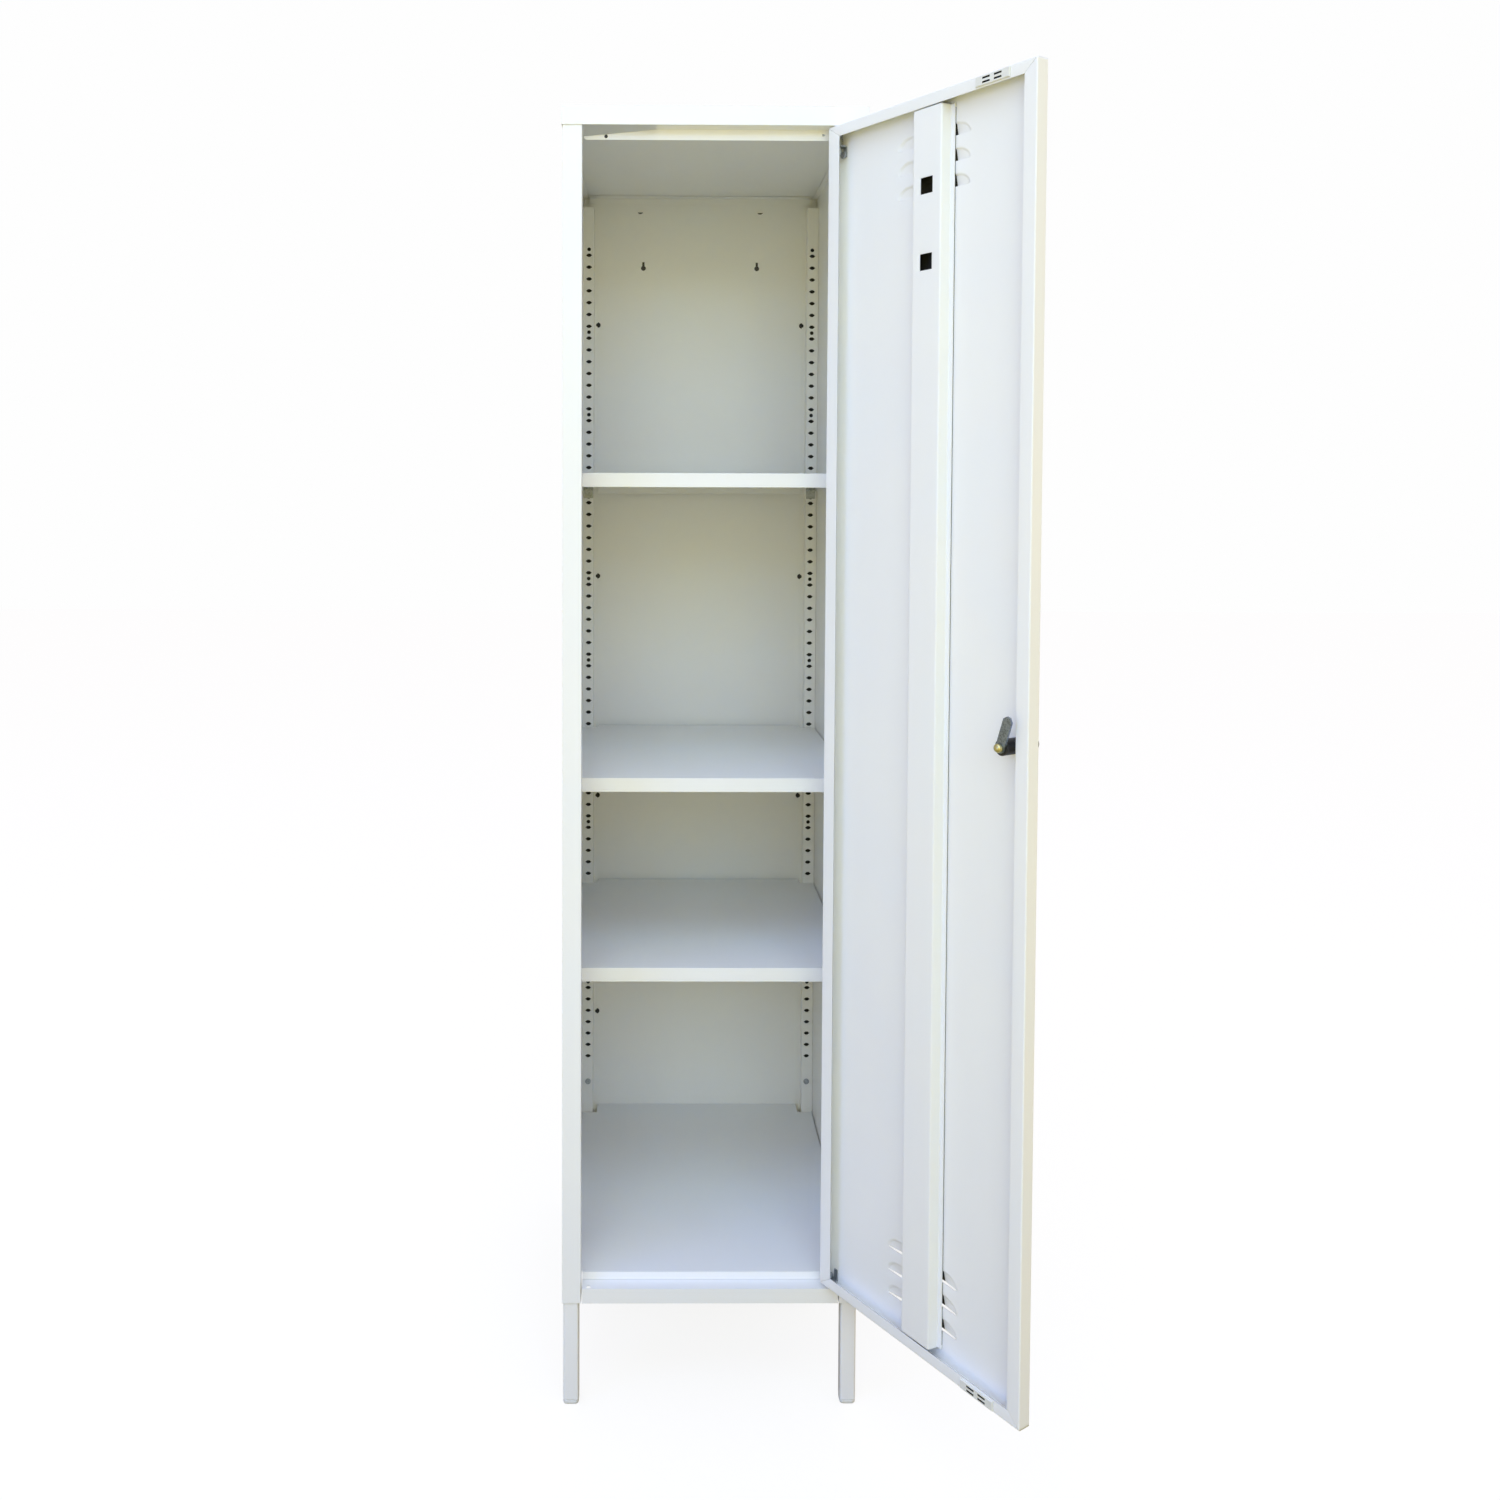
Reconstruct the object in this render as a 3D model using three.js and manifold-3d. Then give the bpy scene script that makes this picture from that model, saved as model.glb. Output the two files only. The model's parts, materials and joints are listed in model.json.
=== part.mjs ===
// A tall single-door locker of folded sheet steel on four square legs, with its door standing wide open.
// Millimetres, +Z up. While it is built, X = 0 is the middle of the body, Y = 0 is the front face of the two
// posts with Y growing into the locker, and Z = 0 is the floor. At the end the whole locker is shifted so that
// its origin is the bottom centre of everything, open door included, to the nearest millimetre.
import * as THREE from "three";
import { mergeVertices } from "three/addons/utils/BufferGeometryUtils.js";
import Module from "manifold-3d";

const wasm = await Module();
wasm.setup();

// ---------------------------------------------------------------- driving dimensions
const WIDTH = 380; // outside of one side panel to the outside of the other
const DEPTH = 500; // front of the posts to the back of the side panels
const HEIGHT = 1655; // floor to the top of the cap
const LEG_HEIGHT = 134; // clear height under the body
const SHEET = 1; // thickness of every folded panel
const GAP = 0.3; // left between pieces that touch

const POST_FACE = 24; // width of the front post that each side panel folds into
const POST_DEPTH = 23; // how far the post's inner face runs back
const POST_LIP = 16; // the post's last fold, back towards the wall
const REAR_FLANGE = 14; // the side panel's fold across the back
const TOP_FLANGE = 8; // the side panel's fold under the cap
const TOP_FLANGE_ENDS = 5; // left free between that fold and the post in front and the back panel behind
const REAR_ANGLE = [16, 10]; // depth and height of the angle across the back under the cap
const THROUGH = 3; // how far a cutting tool runs past the sheet it cuts

const CAP_HEIGHT = 23.5; // skirt of the top cap
const CAP_CLEARANCE = 0.5; // between the cap's skirt and the body inside it

const STOP_Y = 20.5; // face of the stops that the closed door's rim meets
const STOP_DROP = 13; // how far the top stop hangs below the cap
const STOP_CORNER = 4; // rounding of the top stop's lower corners
const RAIL_HEIGHT = 19; // face of the bottom rail
const RAIL_LEDGE = 32; // depth of the rail's upper ledge
const RAIL_RETURN = 18; // fold under the rail
const FLOOR_STEP = 10.5; // the locker's floor above the rail's ledge
const FLOOR_SKIRT = 25; // folds under the floor's sides and back
const PANEL_CLEARANCE = 1.5; // floor and shelves to the side walls

const UPRIGHT_FACE = 17.5; // slotted face of a shelf upright
const UPRIGHT_FLANGE = 5.4; // the rear upright's fold against the back panel
const REAR_UPRIGHT_Y = DEPTH - 30; // slotted face of the rear uprights
const FRONT_UPRIGHT_Y = 74; // slotted face of the front uprights
const FRONT_UPRIGHT_INSET = 5; // front upright's inner face, behind the post's inner face
const UPRIGHT_TOP = 22; // top of an upright below the top of the cap
const SLOT_PITCH = 18.85;
const SLOT_ROWS = 70;
const TOP_ROW_Z = HEIGHT - 98.4;
const SLOT_WIDTH = 10;
const SLOT_HEIGHT = 5.4;
const SLOT_INSET = 7.6; // slot's middle from the inner edge of the slotted face
const ROUND_HOLE = 6; // diameter of the round hole between every seventh pair of slots
const ROUND_EVERY = 7;

const SHELF_TOPS = { upper_shelf: 1201, middle_shelf: 797.5, lower_shelf: 543 };
const SHELF_LIP = 18.5; // front and side folds
const SHELF_REAR_FOLD = 25;
const SHELF_RETURN = 9; // fold back under the front lip
const SHELF_BACK_GAP = 9; // shelf's rear edge to the back panel
const NOTCH_CLEARANCE = 1.2; // floor round the rear uprights
const CLIP_WIDTH = 14.5;
const CLIP_SHEET = 1.2;
const CLIP_LEDGE = 13;
const CLIP_DROP = 14; // the clip's plate below its ledge
const CLIP_RISE = 8; // and above it
const HOOK_WIDTH = 6;
const HOOK_HEIGHT = 2.6;
const HOOK_DROP = 3;

const LEG_TUBE = 20; // outside of the square leg
const LEG_WALL = 1.5;
const LEG_CORNER = 3;
const LEG_INSERT = 60; // front leg inside its post
const REAR_LEG_INSERT = 19.7;
const FOOT_HEIGHT = 6;
const FOOT_PLUG = 12;
const LEG_CLEARANCE = 0.5;

const DOOR_GAP = 2; // to the post on each side
const DOOR_TOP_GAP = 1.5; // to the cap's ledge above
const DOOR_BOTTOM_GAP = 6; // to the rail's ledge below, taken up by the washer at the hinge
const DOOR_DEPTH = 17.3; // front face to the inner face of the rim
const DOOR_LIP = 14; // rim's width along the top and bottom
const FREE_LIP = 17; // rim's width along the free edge
const HINGE_LIP = 20; // rim's width along the hinge side
const PIVOT_IN = 8; // hinge axis from the door's edge
const PIVOT_BACK = 5; // hinge axis behind the front face
const DOOR_OPEN = 123.5; // degrees from closed, where the door's face meets the post
const PIN_DIAMETER = 4.8;
const PIN_CLEARANCE = 0.5;
const PIN_RISE = 8; // top pin above the door, which is also as far as it has to be pulled down
const PIN_COLLAR = 7;
const EAR_DROP = 25; // hinge bracket's ear below the door's top
const EAR_SHEET = 1.5;
const SPRING_WIRE = 0.8;
const SPRING_TURNS = 5;
const BOTTOM_PIN_TOP = 12;
const BOTTOM_PIN_DEPTH = 13;

const STIFFENER_FACE = 43;
const STIFFENER_SLOPE = 2;
const STIFFENER_FOOT = 7;
const STIFFENER_FROM_HINGE = 169; // its middle from the door's hinge edge
const STIFFENER_DEPTH = 14;
const STIFFENER_END_GAP = 1; // to the rim above and below
const HANGER_HOLE = 19; // square holes in the stiffener
const HANGER_HOLE_Z = [HEIGHT - 128, HEIGHT - 215];

const LOUVRE_WIDTH = 116;
const LOUVRE_HEIGHT = 15;
const LOUVRE_PITCH = 28.7;
const LOUVRE_PROUD = 4.5;
const LOUVRE_COUNT = 3;
const LOUVRE_FROM_TOP = 43.5; // middle of the top louvre below the door's top
const LOUVRE_FROM_BOTTOM = 44.5;

const CATCH_FROM_FREE_EDGE = 60;
const CATCH_WIDTH = 48;
const CATCH_HEIGHT = 11;
const CATCH_PROUD = 2.4;
const CATCH_BODY = [40, 7, 9]; // width, height and depth behind the rim
const CATCH_SLOT = [10.5, 2];
const CATCH_SLOT_GAP = [6, 2.6];

const LOCK_FROM_FREE_EDGE = 31;
const LOCK_Z = 900;
const LOCK_BARREL = 18;
const SPINDLE = 8;
const STUD = 5;
const TURN_CLEARANCE = 0.4;
const CAM_Y = 24.3; // front of the cam, behind the post's inner face
const CAM_SHEET = 2.5;
const CAM_WIDTH = 12;
const CAM_REACH = 36.5; // axis to the tip
const CAM_TILT = 18.5; // degrees from upright, towards the free edge
const NUT_DIAMETER = 10;
const NUT_HEIGHT = 6;
const ROSE_DIAMETER = 26;
const ROSE_HEIGHT = 3;
const HANDLE_PROUD = 27;
const HANDLE_BOSS = 17;
const HANDLE_ARM = 30;
const HANDLE_THICKNESS = 9;

const KEYHOLE = { x: 92, z: HEIGHT - 114, round: 8, slot: 3.8, rise: 10 };
const HALF_MOON = { x: 97, z: HEIGHT - 24, diameter: 11 };
const STOP_HOLE = { x: 137, diameter: 3.5, above: 7 };
const UPRIGHT_SCREW_Z = 214;
const SCREW_HEAD = 9;

// ---------------------------------------------------------------- derived places
const HALF = WIDTH / 2;
const WALL = HALF - SHEET; // inner face of a side wall
const POST_INNER = HALF - POST_FACE; // the doorway's half width
const BETWEEN_POSTS = POST_INNER - 1.3;
const CAP_BOTTOM = HEIGHT - CAP_HEIGHT;
const CAP_OUT = CAP_CLEARANCE + SHEET;
const BODY_TOP = HEIGHT - SHEET - PANEL_CLEARANCE;
const RAIL_TOP = LEG_HEIGHT + RAIL_HEIGHT;
const FLOOR_TOP = RAIL_TOP + FLOOR_STEP;
const PANEL_HALF = WALL - PANEL_CLEARANCE;
const BACK_Y = DEPTH - 2 * SHEET - CAP_CLEARANCE; // front face of the back panel
const UPRIGHT_INNER = WALL - GAP - UPRIGHT_FACE;
const SLOT_X = UPRIGHT_INNER + SLOT_INSET;
const DOOR_EDGE = POST_INNER - DOOR_GAP;
const DOOR_TOP = CAP_BOTTOM - DOOR_TOP_GAP;
const DOOR_BOTTOM = RAIL_TOP + DOOR_BOTTOM_GAP;
const PIVOT_X = DOOR_EDGE - PIVOT_IN;
const LOCK_X = LOCK_FROM_FREE_EDGE - DOOR_EDGE;
const STIFFENER_X = DOOR_EDGE - STIFFENER_FROM_HINGE;
const CATCH_X = CATCH_FROM_FREE_EDGE - DOOR_EDGE;

// ---------------------------------------------------------------- materials
const metal = (color, roughness, metalness) => new THREE.MeshStandardMaterial({ color, roughness, metalness });
const WHITE_COAT = metal(0xf1f1ee, 0.35, 0);
const SHELF_COAT = metal(0xe6eaee, 0.35, 0);
const ZINC = metal(0x9aa0a4, 0.4, 0.9);
const CAM_STEEL = metal(0x6f7c88, 0.45, 0.8);
const BRASS = metal(0xb9a15a, 0.3, 1);
const BLACK = metal(0x1c1c1e, 0.5, 0);
const WHITE_PLASTIC = metal(0xe9e9e6, 0.55, 0);

// ---------------------------------------------------------------- solids
// A closed geometry as a manifold solid, and back.
function solid(geometry) {
  const bare = geometry.index ? geometry.toNonIndexed() : geometry.clone();
  bare.deleteAttribute("normal");
  bare.deleteAttribute("uv");
  const merged = mergeVertices(bare, 1e-4);
  return new wasm.Manifold(
    new wasm.Mesh({
      numProp: 3,
      vertProperties: merged.attributes.position.array,
      triVerts: new Uint32Array(merged.index.array),
    }),
  );
}

function geometryOf(manifold) {
  const { vertProperties, triVerts } = manifold.getMesh();
  const geometry = new THREE.BufferGeometry();
  geometry.setAttribute("position", new THREE.BufferAttribute(vertProperties, 3));
  geometry.setIndex(new THREE.BufferAttribute(triVerts, 1));
  const flat = geometry.toNonIndexed();
  flat.computeVertexNormals();
  return flat;
}

const join = (...solids) => wasm.Manifold.union(solids);
const cut = (body, ...tools) => body.subtract(wasm.Manifold.union(tools));

// A block between two corners.
function block([x0, y0, z0], [x1, y1, z1]) {
  const geometry = new THREE.BoxGeometry(x1 - x0, y1 - y0, z1 - z0);
  return solid(geometry.translate((x0 + x1) / 2, (y0 + y1) / 2, (z0 + z1) / 2));
}

// A shape drawn in one plane and carried along the third axis.
const AXES = {
  X: [new THREE.Vector3(0, 1, 0), new THREE.Vector3(0, 0, 1), new THREE.Vector3(1, 0, 0)],
  Y: [new THREE.Vector3(1, 0, 0), new THREE.Vector3(0, 0, 1), new THREE.Vector3(0, -1, 0)],
  Z: [new THREE.Vector3(1, 0, 0), new THREE.Vector3(0, 1, 0), new THREE.Vector3(0, 0, 1)],
};

function prism(shape, axis, from, to, options = {}) {
  const geometry = new THREE.ExtrudeGeometry(shape, { depth: to - from, bevelEnabled: false, ...options });
  geometry.translate(0, 0, axis === "Y" ? -to : from);
  return solid(geometry.applyMatrix4(new THREE.Matrix4().makeBasis(...AXES[axis])));
}

function outline(points) {
  return new THREE.Shape(points.map(([x, y]) => new THREE.Vector2(x, y)));
}

// A round disc or rod along an axis, centred on (a, b) of the other two axes.
function rod(axis, a, b, diameter, from, to, sides = 20) {
  const shape = new THREE.Shape();
  shape.absarc(a, b, diameter / 2, 0, 2 * Math.PI, false);
  return prism(shape, axis, from, to, { curveSegments: sides });
}

// A slot with round ends, width across and height up.
function stadium(x, y, width, height) {
  const r = height / 2;
  const shape = new THREE.Shape();
  shape.absarc(x + width / 2 - r, y, r, -Math.PI / 2, Math.PI / 2, false);
  shape.absarc(x - width / 2 + r, y, r, Math.PI / 2, 1.5 * Math.PI, false);
  return shape;
}

function roundedSquare(x, y, side, corner) {
  const h = side / 2 - corner;
  const shape = new THREE.Shape();
  shape.absarc(x + h, y + h, corner, 0, Math.PI / 2, false);
  shape.absarc(x - h, y + h, corner, Math.PI / 2, Math.PI, false);
  shape.absarc(x - h, y - h, corner, Math.PI, 1.5 * Math.PI, false);
  shape.absarc(x + h, y - h, corner, 1.5 * Math.PI, 2 * Math.PI, false);
  return shape;
}

// The section of a folded sheet: its face runs through the points and its thickness lies to the left.
function folded(points, thickness = SHEET) {
  const face = points.map(([x, y]) => new THREE.Vector2(x, y));
  const left = face.slice(1).map((p, i) => {
    const run = p.clone().sub(face[i]).normalize();
    return new THREE.Vector2(-run.y, run.x);
  });
  const back = face.map((p, i) => {
    const before = left[Math.max(i - 1, 0)];
    const after = left[Math.min(i, left.length - 1)];
    const mitre = before.clone().add(after);
    return p.clone().add(mitre.multiplyScalar((2 * thickness) / mitre.lengthSq()));
  });
  return new THREE.Shape([...face, ...back.reverse()]);
}

// The same solid on the other side of X = 0.
function mirrored(body) {
  const geometry = geometryOf(body).scale(-1, 1, 1);
  const p = geometry.attributes.position;
  for (let i = 0; i < p.count; i += 3) {
    const [x, y, z] = [p.getX(i + 1), p.getY(i + 1), p.getZ(i + 1)];
    p.setXYZ(i + 1, p.getX(i + 2), p.getY(i + 2), p.getZ(i + 2));
    p.setXYZ(i + 2, x, y, z);
  }
  return solid(geometry);
}

// ---------------------------------------------------------------- the scene graph
const locker = new THREE.Group();
const door = new THREE.Group();
const lock = new THREE.Group();

function add(parent, name, body, material) {
  const mesh = new THREE.Mesh(geometryOf(body), material);
  mesh.name = name;
  parent.add(mesh);
  return mesh;
}

// A left-hand piece and its mirror image on the right.
function addPair(nameOf, body, material) {
  add(locker, nameOf("left"), body, material);
  add(locker, nameOf("right"), mirrored(body), material);
}

// ---------------------------------------------------------------- body panels
function leftSidePanel() {
  const section = folded([
    [-HALF + REAR_FLANGE, DEPTH],
    [-HALF, DEPTH],
    [-HALF, 0],
    [-POST_INNER, 0],
    [-POST_INNER, POST_DEPTH],
    [-POST_INNER - POST_LIP, POST_DEPTH],
  ]);
  const flange = block(
    [-WALL - SHEET / 2, POST_DEPTH + TOP_FLANGE_ENDS, BODY_TOP - SHEET],
    [-WALL + TOP_FLANGE, BACK_Y - TOP_FLANGE_ENDS, BODY_TOP],
  );
  return join(prism(section, "Z", LEG_HEIGHT, BODY_TOP), flange);
}

function topCap() {
  const outer = block([-HALF - CAP_OUT, -CAP_OUT, CAP_BOTTOM], [HALF + CAP_OUT, DEPTH + CAP_OUT, HEIGHT]);
  const inner = block(
    [-HALF - CAP_CLEARANCE, -CAP_CLEARANCE, CAP_BOTTOM - 1],
    [HALF + CAP_CLEARANCE, DEPTH + CAP_CLEARANCE, HEIGHT - SHEET],
  );
  return cut(outer, inner);
}

const pivotHoles = (z) =>
  [-PIVOT_X, PIVOT_X].map((x) => rod("Z", x, PIVOT_BACK, PIN_DIAMETER + 2 * PIN_CLEARANCE, z - 3, z + 3));

// A folded rail behind the cap's skirt: an up-turned flange, a ledge over the door and the hanging stop.
function topStopRail() {
  const section = folded([
    [0, BODY_TOP - GAP],
    [0, CAP_BOTTOM],
    [STOP_Y, CAP_BOTTOM],
    [STOP_Y, CAP_BOTTOM - STOP_DROP],
  ]);
  const low = CAP_BOTTOM - STOP_DROP;
  const end = BETWEEN_POSTS - STOP_CORNER;
  const mask = new THREE.Shape();
  mask.moveTo(-BETWEEN_POSTS, HEIGHT);
  mask.absarc(-end, low + STOP_CORNER, STOP_CORNER, Math.PI, 1.5 * Math.PI, false);
  mask.absarc(end, low + STOP_CORNER, STOP_CORNER, 1.5 * Math.PI, 2 * Math.PI, false);
  mask.lineTo(BETWEEN_POSTS, HEIGHT);
  const rail = prism(section, "X", -BETWEEN_POSTS, BETWEEN_POSTS).intersect(
    prism(mask, "Y", -1, STOP_Y + 5, { curveSegments: 4 }),
  );
  const holes = [-STOP_HOLE.x, STOP_HOLE.x].map((x) =>
    rod("Y", x, low + STOP_HOLE.above, STOP_HOLE.diameter, STOP_Y - 2, STOP_Y + 3, 8),
  );
  return cut(rail, ...holes, ...pivotHoles(CAP_BOTTOM));
}

function rearTopAngle() {
  const end = WALL - TOP_FLANGE - SHEET;
  const top = HEIGHT - SHEET - GAP;
  const [depth, height] = REAR_ANGLE;
  const section = folded([
    [BACK_Y - depth, top - SHEET],
    [BACK_Y - GAP - SHEET, top - SHEET],
    [BACK_Y - GAP - SHEET, top - height],
  ]);
  return prism(section, "X", -end, end);
}

function bottomRail() {
  const section = folded([
    [RAIL_RETURN, LEG_HEIGHT],
    [0, LEG_HEIGHT],
    [0, RAIL_TOP],
    [RAIL_LEDGE, RAIL_TOP],
  ].reverse());
  return cut(prism(section, "X", -BETWEEN_POSTS, BETWEEN_POSTS), ...pivotHoles(RAIL_TOP));
}

// The corners that the floor and the shelves leave free for the rear uprights.
const notchInner = UPRIGHT_INNER - UPRIGHT_FLANGE - NOTCH_CLEARANCE;
const notchFront = REAR_UPRIGHT_Y - CLIP_SHEET - 3 * GAP;

function notched(front, rear, z, thickness) {
  const sheet = outline([
    [-PANEL_HALF, front],
    [PANEL_HALF, front],
    [PANEL_HALF, notchFront],
    [notchInner, notchFront],
    [notchInner, rear],
    [-notchInner, rear],
    [-notchInner, notchFront],
    [-PANEL_HALF, notchFront],
  ]);
  return prism(sheet, "Z", z - thickness, z);
}

function floorPanel() {
  const front = POST_DEPTH + 2 * GAP;
  const rear = BACK_Y - 0.8;
  const low = FLOOR_TOP - FLOOR_SKIRT;
  const tongue = block([-BETWEEN_POSTS, STOP_Y, FLOOR_TOP - SHEET], [BETWEEN_POSTS, front + 1, FLOOR_TOP]);
  const lip = block([-BETWEEN_POSTS, STOP_Y, RAIL_TOP + GAP], [BETWEEN_POSTS, STOP_Y + SHEET, FLOOR_TOP]);
  const skirts = [-1, 1].map((side) => {
    const [a, b] = [side * PANEL_HALF, side * (PANEL_HALF - SHEET)].sort((p, q) => p - q);
    return block([a, front, low], [b, notchFront, FLOOR_TOP]);
  });
  const back = block([-notchInner, rear - SHEET, low], [notchInner, rear, FLOOR_TOP]);
  return join(notched(front, rear, FLOOR_TOP, SHEET), tongue, lip, ...skirts, back);
}

function keyhole(x) {
  const { z, round, slot, rise } = KEYHOLE;
  const [front, back] = [BACK_Y - THROUGH, BACK_Y + THROUGH];
  const neck = block([x - slot / 2, front, z], [x + slot / 2, back, z + rise]);
  return join(rod("Y", x, z, round, front, back, 12), neck);
}

function halfMoon(x) {
  const { z, diameter } = HALF_MOON;
  const shape = new THREE.Shape();
  shape.absarc(x, z + diameter / 4, diameter / 2, Math.PI, 2 * Math.PI, false);
  return prism(shape, "Y", BACK_Y - THROUGH, BACK_Y + THROUGH, { curveSegments: 8 });
}

function backPanel() {
  const edge = WALL - CAP_CLEARANCE;
  const sheet = block([-edge, BACK_Y, LEG_HEIGHT + 1], [edge, BACK_Y + SHEET, BODY_TOP]);
  const sides = [-1, 1];
  return cut(sheet, ...sides.flatMap((s) => [keyhole(s * KEYHOLE.x), halfMoon(s * HALF_MOON.x)]));
}

// ---------------------------------------------------------------- uprights, shelves and clips
const rowZ = (row) => TOP_ROW_Z - row * SLOT_PITCH;

// The ledge that a shelf's folds stand on, and the slot row nearest to it, which the clips hook into.
const clipLedge = (shelfTop) => shelfTop - SHELF_LIP - GAP;
const clipRow = (shelfTop) => Math.round((TOP_ROW_Z - clipLedge(shelfTop)) / SLOT_PITCH);

// A pointed slot through a slotted face at depth y.
function slot(y, z) {
  const w = SLOT_WIDTH / 2;
  const h = SLOT_HEIGHT / 2;
  const shape = outline([
    [-SLOT_X - w, z],
    [-SLOT_X - w / 3, z - h],
    [-SLOT_X + w / 3, z - h],
    [-SLOT_X + w, z],
    [-SLOT_X + w / 3, z + h],
    [-SLOT_X - w / 3, z + h],
  ]);
  return prism(shape, "Y", y - 2, y + 2);
}

function leftRearUpright() {
  const inner = -UPRIGHT_INNER;
  const flangeY = BACK_Y - GAP - SHEET;
  const section = folded([
    [-WALL + GAP, REAR_UPRIGHT_Y],
    [inner, REAR_UPRIGHT_Y],
    [inner, flangeY],
    [inner + UPRIGHT_FLANGE, flangeY],
  ]);
  const body = prism(section, "Z", RAIL_TOP + 2, HEIGHT - UPRIGHT_TOP);
  const rows = [...Array(SLOT_ROWS).keys()];
  const slots = rows.map((row) => slot(REAR_UPRIGHT_Y, rowZ(row)));
  const holes = rows
    .filter((row) => row % ROUND_EVERY === 0)
    .map((row) =>
      rod("Y", -SLOT_X, rowZ(row - 0.5), ROUND_HOLE, REAR_UPRIGHT_Y - 2, REAR_UPRIGHT_Y + 2, 8),
    );
  return cut(body, ...slots, ...holes);
}

function leftFrontUpright() {
  const inner = -POST_INNER - FRONT_UPRIGHT_INSET;
  const section = folded([
    [inner, POST_DEPTH + GAP],
    [inner, FRONT_UPRIGHT_Y],
    [-WALL + GAP, FRONT_UPRIGHT_Y],
  ]);
  const body = prism(section, "Z", FLOOR_TOP + GAP, HEIGHT - UPRIGHT_TOP);
  const rows = Object.values(SHELF_TOPS).flatMap((top) => [-1, 0, 1].map((step) => clipRow(top) + step));
  return cut(body, ...rows.map((row) => slot(FRONT_UPRIGHT_Y, rowZ(row))));
}

function shelf(top) {
  const front = FRONT_UPRIGHT_Y + CLIP_SHEET + 5 * GAP;
  const rear = BACK_Y - SHELF_BACK_GAP;
  const low = top - SHELF_LIP;
  const lip = block([-PANEL_HALF, front, low], [PANEL_HALF, front + SHEET, top]);
  const fold = block([-PANEL_HALF, front, low], [PANEL_HALF, front + SHELF_RETURN, low + SHEET]);
  const back = block([-notchInner, rear - SHEET, top - SHELF_REAR_FOLD], [notchInner, rear, top]);
  const sides = [-1, 1].map((side) => {
    const [a, b] = [side * PANEL_HALF, side * (PANEL_HALF - SHEET)].sort((p, q) => p - q);
    return block([a, front, low], [b, notchFront, top]);
  });
  return join(notched(front, rear, top, SHEET), lip, fold, back, ...sides);
}

// A clip under one left-hand corner of a shelf. Its plate stands against the slotted face at y, its hook
// drops behind that sheet, and its ledge reaches away from the face, towards the middle of the shelf.
function leftClip(shelfTop, y, towards) {
  const ledgeTop = clipLedge(shelfTop);
  const hookZ = rowZ(clipRow(shelfTop));
  const at = (offset) => y + towards * offset;
  const span = (a, b) => (towards > 0 ? [at(a), at(b)] : [at(b), at(a)]);
  const piece = (width, [y0, y1], z0, z1) =>
    block([-SLOT_X - width / 2, y0, z0], [-SLOT_X + width / 2, y1, z1]);
  const behind = SHEET + GAP + CLIP_SHEET;
  const [hookLow, hookHigh] = [hookZ - HOOK_HEIGHT / 2, hookZ + HOOK_HEIGHT / 2];
  return join(
    piece(CLIP_WIDTH, span(GAP, GAP + CLIP_SHEET), ledgeTop - CLIP_DROP, ledgeTop + CLIP_RISE),
    piece(CLIP_WIDTH, span(GAP, GAP + CLIP_LEDGE), ledgeTop - CLIP_SHEET, ledgeTop),
    piece(HOOK_WIDTH, span(-behind, GAP + CLIP_SHEET), hookLow, hookHigh),
    piece(HOOK_WIDTH, span(-behind, -SHEET - GAP), hookLow - HOOK_DROP, hookHigh),
  );
}

// ---------------------------------------------------------------- legs and feet
const legX = WALL - LEG_CLEARANCE - LEG_TUBE / 2;
const LEGS = {
  front: { y: SHEET + LEG_CLEARANCE + LEG_TUBE / 2, top: LEG_HEIGHT + LEG_INSERT },
  rear: { y: BACK_Y - LEG_CLEARANCE - LEG_TUBE / 2, top: LEG_HEIGHT + REAR_LEG_INSERT },
};

function leftLeg({ y, top }) {
  const shape = roundedSquare(-legX, y, LEG_TUBE, LEG_CORNER);
  shape.holes.push(roundedSquare(-legX, y, LEG_TUBE - 2 * LEG_WALL, LEG_CORNER - LEG_WALL));
  return prism(shape, "Z", FOOT_HEIGHT + GAP, top, { curveSegments: 3 });
}

function leftFoot({ y }) {
  const bevel = 2;
  const pad = roundedSquare(-legX, y, LEG_TUBE - 2 * bevel, LEG_CORNER);
  const plug = roundedSquare(-legX, y, LEG_TUBE - 2 * LEG_WALL - 2 * GAP, LEG_CORNER - LEG_WALL);
  return join(
    prism(pad, "Z", bevel, FOOT_HEIGHT - bevel, {
      curveSegments: 3,
      bevelEnabled: true,
      bevelThickness: bevel,
      bevelSize: bevel,
      bevelSegments: 2,
    }),
    prism(plug, "Z", FOOT_HEIGHT / 2, FOOT_HEIGHT + FOOT_PLUG, { curveSegments: 3 }),
  );
}

// ---------------------------------------------------------------- door, drawn closed
// A hood pressed out of the door's face, open along its lower edge.
function louvre(z) {
  const [w, h] = [LOUVRE_WIDTH, LOUVRE_HEIGHT];
  const section = (grow) =>
    outline([
      [SHEET, z + h / 2 + grow],
      [0, z + h / 2 + grow],
      [-LOUVRE_PROUD + SHEET - grow, z - h / 4],
      [-LOUVRE_PROUD + SHEET - grow, z - h / 2 - grow],
      [SHEET, z - h / 2 - grow],
    ]);
  const plan = (grow) =>
    prism(stadium(0, z, w + 2 * grow, h + 2 * grow), "Y", -LOUVRE_PROUD - 1, SHEET, { curveSegments: 6 });
  const hood = prism(section(SHEET), "X", -w, w).intersect(plan(SHEET));
  const hollow = prism(section(0), "X", -w, w).intersect(plan(0));
  const mouth = block(
    [-w / 2 + h / 2, -LOUVRE_PROUD + SHEET, z - h / 2 - THROUGH],
    [w / 2 - h / 2, -GAP, z - h / 2 + THROUGH],
  );
  return { hood, hollow: join(hollow, mouth) };
}

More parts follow.
